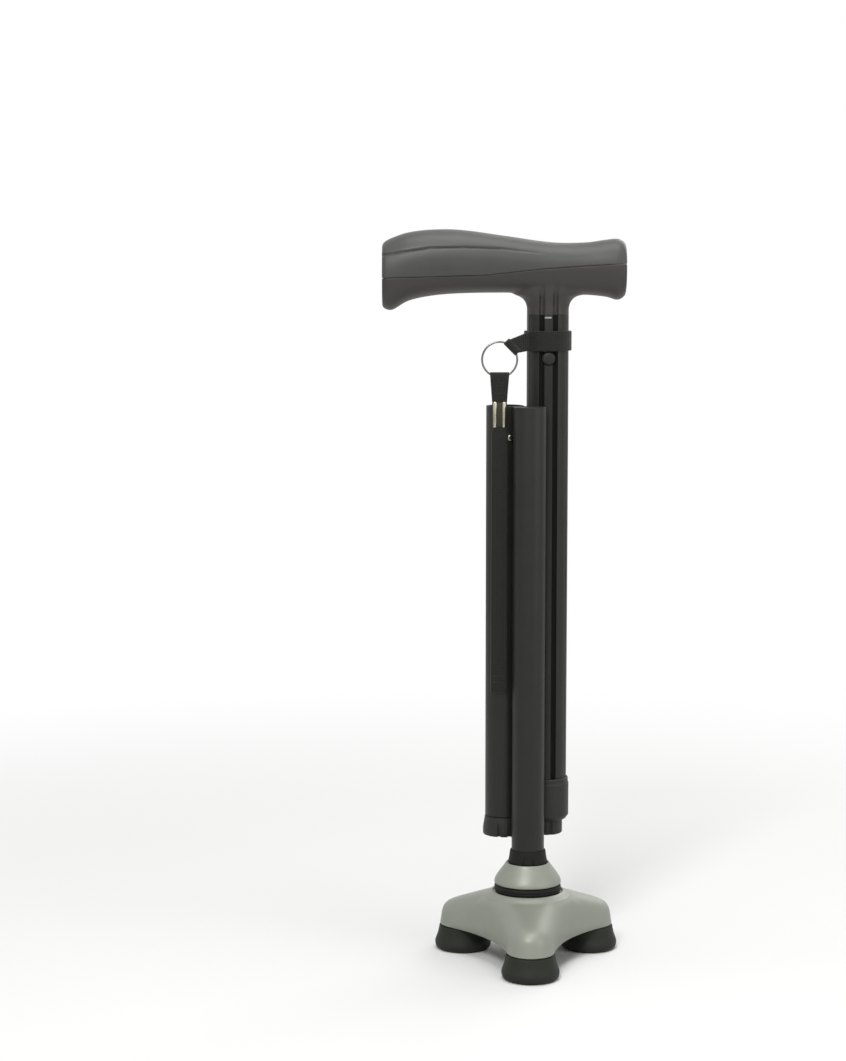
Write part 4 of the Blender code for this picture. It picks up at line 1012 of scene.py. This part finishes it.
def makeHandleBody():
    rough = addPiece("rough body", handleForm(160, 90))
    cutAway(rough, addPiece("stem", stemForm()), "UNION")
    bm = evenMesh(rough, handleSizes["voxel"])
    bpy.data.objects.remove(rough, do_unlink=True)
    trim(bm, (0, 0, -0.27 * mm), (0, 0, -1))
    closeHoles(bm)
    reach, low, high, passes = handleSizes["blend"]
    smooth(bm, [vert for vert in bm.verts if abs(vert.co.x) < reach and low < vert.co.z < high], passes)
    for _ in range(3):
        smooth(bm, [vert for vert in bm.verts if vert.co.z > 1.0 * mm])
    offset, halfWidth, depth, height, runOut = handleSizes["flute"]
    for vert in bm.verts:
        if vert.co.y < 0 and vert.co.z < height:
            fade = min((height - vert.co.z) / runOut, 1) ** 0.7
            away = (abs(vert.co.x) - offset) / halfWidth
            vert.co.y += depth * fade * exp(-away ** 4)
    cutAtSeam(bm, False, 0.0)
    makePiece("handle_body_moulded", "handle_body", bm, 50)


makeGrip()
makeHandleBody()
print("handle made")


# Wrist strap

strapSizes = {
    "webVoxel": 0.22 * mm,
    "band": (292.3 * mm, 301.8 * mm),  # lower and upper edge
    "bandRadii": (10.3 * mm, 11.4 * mm),
    "tabTurn": 215,  # direction in plan in which the tab leaves the tube
    "tabFold": 7.9 * mm,  # length of the tab's fold over the ring
    "eyeRadius": 0.95 * mm,  # of the opening through that fold
    "foldRadius": 1.9 * mm,
    "ringRadius": 8.3 * mm,
    "ringTurns": (704, -100),  # degrees that the wire is wound, and where it starts
    "wire": (0.48 * mm, 0.3 * mm),  # half thickness across the ring and along its axis
    "foldTop": 2.3 * mm,  # the strap's fold stands this far above the foot of the ring
    "foldHalf": (3.55 * mm, 4.6 * mm, 1.2 * mm),  # half width at the crimp and at the ring, half depth
    "width": 7.6 * mm,
    "thickness": 1.1 * mm,
    "gap": 0.8 * mm,  # between the two layers as they hang
    "tuck": 0.55 * mm,  # from the strap's middle to each layer in the crimp
    "part": (1.6 * mm, 6),  # the layers part over this many steps of this length
    "sway": 0.18 * mm,
    "crimp": (7.0 * mm, 1.5 * mm, 12.6 * mm),
    "bar": (2.15 * mm, 0.95 * mm),  # distance from the middle, and radius
    "stitch": (0.16 * mm, 1.5 * mm),  # half thickness and length
}
ringCentre = middleOf("split_ring")


def asCloth(piece, node, passes):
    # Sewn webbing: one even mesh with its edges rounded off as cloth's are
    bm = evenMesh(piece, strapSizes["webVoxel"])
    smooth(bm, bm.verts, passes)
    bm.to_mesh(piece.data)
    bm.free()
    piece.data.shade_smooth()
    return stands(piece, node)


def rod(name, radius, length, segments, place, direction):
    bm = bmesh.new()
    bmesh.ops.create_cone(bm, cap_ends=True, segments=segments, radius1=radius, radius2=radius, depth=length)
    return addPiece(name, put(bm, place, direction.to_track_quat("Z", "Y").to_matrix()))


def makeBand():
    # Webbing wrapped round the tube, its two ends sewn together into a tab folded over the ring
    bottom, top = strapSizes["band"]
    inner, outer = strapSizes["bandRadii"]
    profile = rounded(wall(inner, outer, bottom, top), 0.4 * mm)
    band = addPiece("strap_band_webbing", lathe(profile, upperAxis, 128), "webbing")
    slant = Vector((-1, 0, 1))
    eye = ringCentre + strapSizes["ringRadius"] * Vector((1, 0, 1)).normalized()
    root = upperAxis + (outer - 0.6 * mm) * bearing(strapSizes["tabTurn"])
    reach = Vector((eye.x - root.x, eye.y - root.y, 0))
    half = strapSizes["tabFold"] / 2 * sqrt(0.5)
    lean = half / abs(reach.normalized().x)
    outline = ((-0.6 * mm, bottom + 0.2 * mm), (reach.length - lean, eye.z - half),
               (reach.length + lean, eye.z + half), (-0.6 * mm, top - 0.2 * mm))
    web = bmesh.new()
    face = web.faces.new([web.verts.new((across, -1.0 * mm, height)) for across, height in outline])
    grown = bmesh.ops.extrude_face_region(web, geom=[face])["geom"]
    back = [item for item in grown if isinstance(item, bmesh.types.BMVert)]
    bmesh.ops.translate(web, vec=(0, 2.0 * mm, 0), verts=back)
    put(web, root, turned(degrees(atan2(reach.y, reach.x))))
    cutAway(band, addPiece("tab", web), "UNION")
    cutAway(band, rod("fold", strapSizes["foldRadius"], strapSizes["tabFold"], 40, eye, slant), "UNION")
    cutAway(band, rod("hole", strapSizes["eyeRadius"], 30 * mm, 32, eye, slant))
    asCloth(band, "strap_band", 4)


def makeFold():
    # Webbing doubled over the foot of the ring, drawn together towards the crimp
    bottom = heights("strap_fold")[0] - 0.6 * mm
    top = ringCentre.z - strapSizes["ringRadius"] + strapSizes["foldTop"]
    narrow, wide, flat = strapSizes["foldHalf"]
    bend = strapSizes["foldRadius"]
    bm = bmesh.new()
    bmesh.ops.create_cube(bm, size=1)
    bmesh.ops.subdivide_edges(bm, edges=list(bm.edges), cuts=23, use_grid_fill=True)
    for vert in bm.verts:
        share = vert.co.z + 0.5
        height = bottom + (top - bottom) * share
        halfWidth = narrow + (wide - narrow) * share
        halfDepth = flat + (bend - flat) * min(share * 1.3, 1)
        fromTop = top - height
        if fromTop < bend:
            halfDepth *= sqrt(max(1 - (1 - fromTop / bend) ** 2, 0.02))
        vert.co = (ringCentre.x + 2 * vert.co.x * halfWidth, ringCentre.y + 2 * vert.co.y * halfDepth, height)
    return asCloth(addPiece("strap_fold_webbing", bm, "webbing"), "strap_fold", 3)


def makeSplitRing():
    # Spring wire wound twice round, so its ends lie side by side
    across, deep = strapSizes["wire"]
    wound, start = strapSizes["ringTurns"]
    steps = 192
    bm = bmesh.new()
    section = bmesh.ops.create_circle(bm, cap_ends=True, segments=14, radius=1)["verts"]
    fit(bm, section, (across, deep, 1), (strapSizes["ringRadius"], -deep, 0))
    bmesh.ops.spin(bm, geom=list(bm.faces), cent=(0, 0, 0), axis=(0, 1, 0), dvec=(0, 2 * deep / steps, 0),
                   angle=radians(wound), steps=steps, use_merge=False)
    put(bm, ringCentre, turned(start, "Y"))
    stands(addPiece("split_ring_wound", bm, "springSteel"), "split_ring")


def makeCrimp():
    # A bright clip whose two edges are rolled into bars, with painted shade on the channel between them
    width, depth, height = strapSizes["crimp"]
    offset, radius = strapSizes["bar"]
    bm = bmesh.new()
    bmesh.ops.create_cube(bm, size=1)
    bmesh.ops.scale(bm, vec=(width, depth, height - 0.2 * mm), verts=bm.verts)
    bmesh.ops.bevel(bm, geom=list(bm.edges), offset=0.35 * mm, offset_type="OFFSET", segments=3, profile=0.5,
                    affect="EDGES", material=-1)
    # the plate between the bars takes the nickel with painted shade
    for face in bm.faces:
        face.material_index = 1
    angles = [radians(angle) for angle in range(15, 91, 15)]
    profile = [(0, -height / 2)]
    profile += [(radius * sin(angle), -height / 2 + 0.7 * radius * (1 - cos(angle))) for angle in angles]
    profile += [(reach, -level) for reach, level in reversed(profile)]
    for front in (-1, 1):
        for side in (-1, 1):
            addTo(bm, lathe(profile, (side * offset, front * (depth / 2 - 0.1 * mm)), 32))
    put(bm, middleOf("strap_crimp"))
    crimp = makePiece("strap_crimp_rolled", "strap_crimp", bm)
    crimp.data.materials.append(finishes["paintedShadeNickel"])


def loopRoute():
    # The strap's middle line, from the crimp down one layer, round the end, and up the other
    middle = middleOf("wrist_loop").y
    thickness = strapSizes["thickness"]
    half = (strapSizes["gap"] + thickness) / 2
    tuck = strapSizes["tuck"]
    length, count = strapSizes["part"]
    top = heights("strap_crimp")[0] + 0.8 * mm
    bottom = heights("wrist_loop")[0] + thickness / 2
    hangFrom = top - length * count
    stops = 40

    def layer(side, waves):
        route = []
        for step in range(count + 1):
            apart = tuck + (half - tuck) * sin(pi / 2 * step / count) ** 2
            route.append((middle + side * apart, top - length * step))
        for step in range(1, stops):
            share = step / stops
            sway = strapSizes["sway"] * sin(share * waves)
            route.append((middle + side * (half + sway), hangFrom - (hangFrom - bottom - half) * share))
        return route

    angles = [radians(180 + 180 * step / 12) for step in range(13)]
    end = [(middle + half * cos(angle), bottom + half + half * sin(angle)) for angle in angles]
    return layer(-1, 9.0) + end + layer(1, 7.0)[::-1]


def makeWristLoop():
    # One length of webbing, doubled and hanging, squared off and sewn across at its lower end
    centre = middleOf("wrist_loop").x
    width, columns = strapSizes["width"], 12
    route = loopRoute()
    bm = bmesh.new()
    cross = [bm.verts.new((centre - width / 2 + width * step / columns, *route[0]))
             for step in range(columns + 1)]
    edges = [bm.edges.new(pair) for pair in zip(cross, cross[1:])]
    travelled = 0.0
    for last, stop in zip(route, route[1:]):
        verts, edges = grow(bm, edges)
        step = Vector((0, stop[0] - last[0], stop[1] - last[1]))
        bmesh.ops.translate(bm, verts=verts, vec=step)
        travelled += step.length
    narrowFrom = heights("strap_crimp")[0] - 2.0 * mm
    for vert in bm.verts:
        # narrow where it enters the crimp
        vert.co.x = centre + (vert.co.x - centre) * (1 - 0.2 * clamp((vert.co.z - narrowFrom) / (2.0 * mm)))
    strap = addPiece("wrist_loop_webbing", bm, "webbing", 60)
    softEdges(modified(strap, "SOLIDIFY", thickness=strapSizes["thickness"], offset=0), 0.3 * mm, 3, 50)
    print("wrist strap length", round(travelled, 4))
    return stands(strap, "wrist_loop")


def surfaceAt(piece, height, side):
    # How far forward or back the middle of a hanging piece reaches at a height
    near = 2.2 * mm
    shaped = evaluated(piece)
    reach = [side * vert.co.y for vert in shaped.to_mesh().vertices
             if abs(vert.co.z - height) < near and abs(vert.co.x - ringCentre.x) < near]
    shaped.to_mesh_clear()
    return side * max(reach)


def makeStitches(fold, loop):
    # Bar tacks across the strap: at its squared end, and where the fold is sewn over the ring
    halfThick, length = strapSizes["stitch"]
    rows = (("loop_stitches", "wrist_loop", loop, 5.0 * mm, 2.04 * mm),
            ("loop_stitches_upper", "wrist_loop", loop, 8.2 * mm, 2.04 * mm),
            ("fold_stitches", "strap_fold", fold, 3.4 * mm, 1.84 * mm))
    for name, node, webbing, rise, spacing in rows:
        height = heights(node)[0] + rise
        bm = bmesh.new()
        for side in (-1, 1):
            depth = surfaceAt(webbing, height, side)
            for index in (-1, 0, 1):
                made = bmesh.ops.create_uvsphere(bm, u_segments=10, v_segments=8, radius=1)["verts"]
                fit(bm, made, (length / 2, halfThick, halfThick),
                    (ringCentre.x + index * spacing, depth, height))
        rides(addPiece(name, bm, "thread", 60), node)


makeBand()
foldWebbing = makeFold()
makeSplitRing()
makeCrimp()
makeStitches(foldWebbing, makeWristLoop())
print("strap made")


# Elastic cord: straight in the tubes, bent over at the two folds

cordSizes = {
    "radius": 1.5 * mm,
    "bend": 3.4 * mm,
    "bendSteps": 10,
    "clear": 0.3 * mm,  # between a link's feet and what they stand over
    "keep": 0.12,  # share of a link's width that is left when the sections are in line
}


def cordTube(name, node, route, body=None):
    curve = bpy.data.curves.new(name, "CURVE")
    curve.dimensions = "3D"
    curve.bevel_depth = cordSizes["radius"]
    curve.bevel_resolution = 4
    curve.use_fill_caps = True
    line = curve.splines.new("POLY")
    line.points.add(len(route) - 1)
    for point, stop in zip(line.points, route):
        point.co = (*stop, 1)
    helper = addObject(name, curve)
    mesh = bpy.data.meshes.new_from_object(evaluated(helper))
    bpy.data.objects.remove(helper, do_unlink=True)
    bm = opened(mesh)
    bpy.data.meshes.remove(mesh)
    return stands(addPiece(name, bm, "elastic_cord", 50), node, body)


def bridge(first, second, height, feet, side):
    # Out of one tube, across in a tight bend, and into the next
    bend, steps = cordSizes["bend"], cordSizes["bendSteps"]
    across = (second - first).normalized() * bend
    angles = [radians(90 * step / steps) for step in range(steps + 1)]
    route = [first + up(feet[0])]
    route += [first + across * (1 - cos(angle)) + up(height + side * bend * (sin(angle) - 1))
              for angle in angles]
    route += [second - across * (1 - sin(angle)) + up(height + side * bend * (cos(angle) - 1))
              for angle in angles]
    return route + [second + up(feet[1])]


def makeCords():
    places = {"lower_cord": lowerAxis, "middle_cord": middleAxis, "upper_cord": upperAxis}
    for node, centre in places.items():
        cordTube(node + "_braided", node, [centre + up(height) for height in heights(node)])
    links = (("upper_cord_link", "lower_cord", "middle_cord", 1, "fold_lower", "lower_section"),
             ("lower_cord_link", "middle_cord", "upper_cord", -1, "fold_upper", "middle_section"))
    for node, first, second, side, joint, body in links:
        low, high = heights(node)
        if side > 0:
            edge = high - cordSizes["radius"]
            feet = [heights(name)[1] + cordSizes["clear"] for name in ("lower_cord", "middle_stop")]
        else:
            edge = low + cordSizes["radius"]
            feet = (high, high)
        route = bridge(places[first], places[second], edge, feet, side)
        link = cordTube(node + "_braided", node, route, body)
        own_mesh(link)


makeCords()
print("cords made")
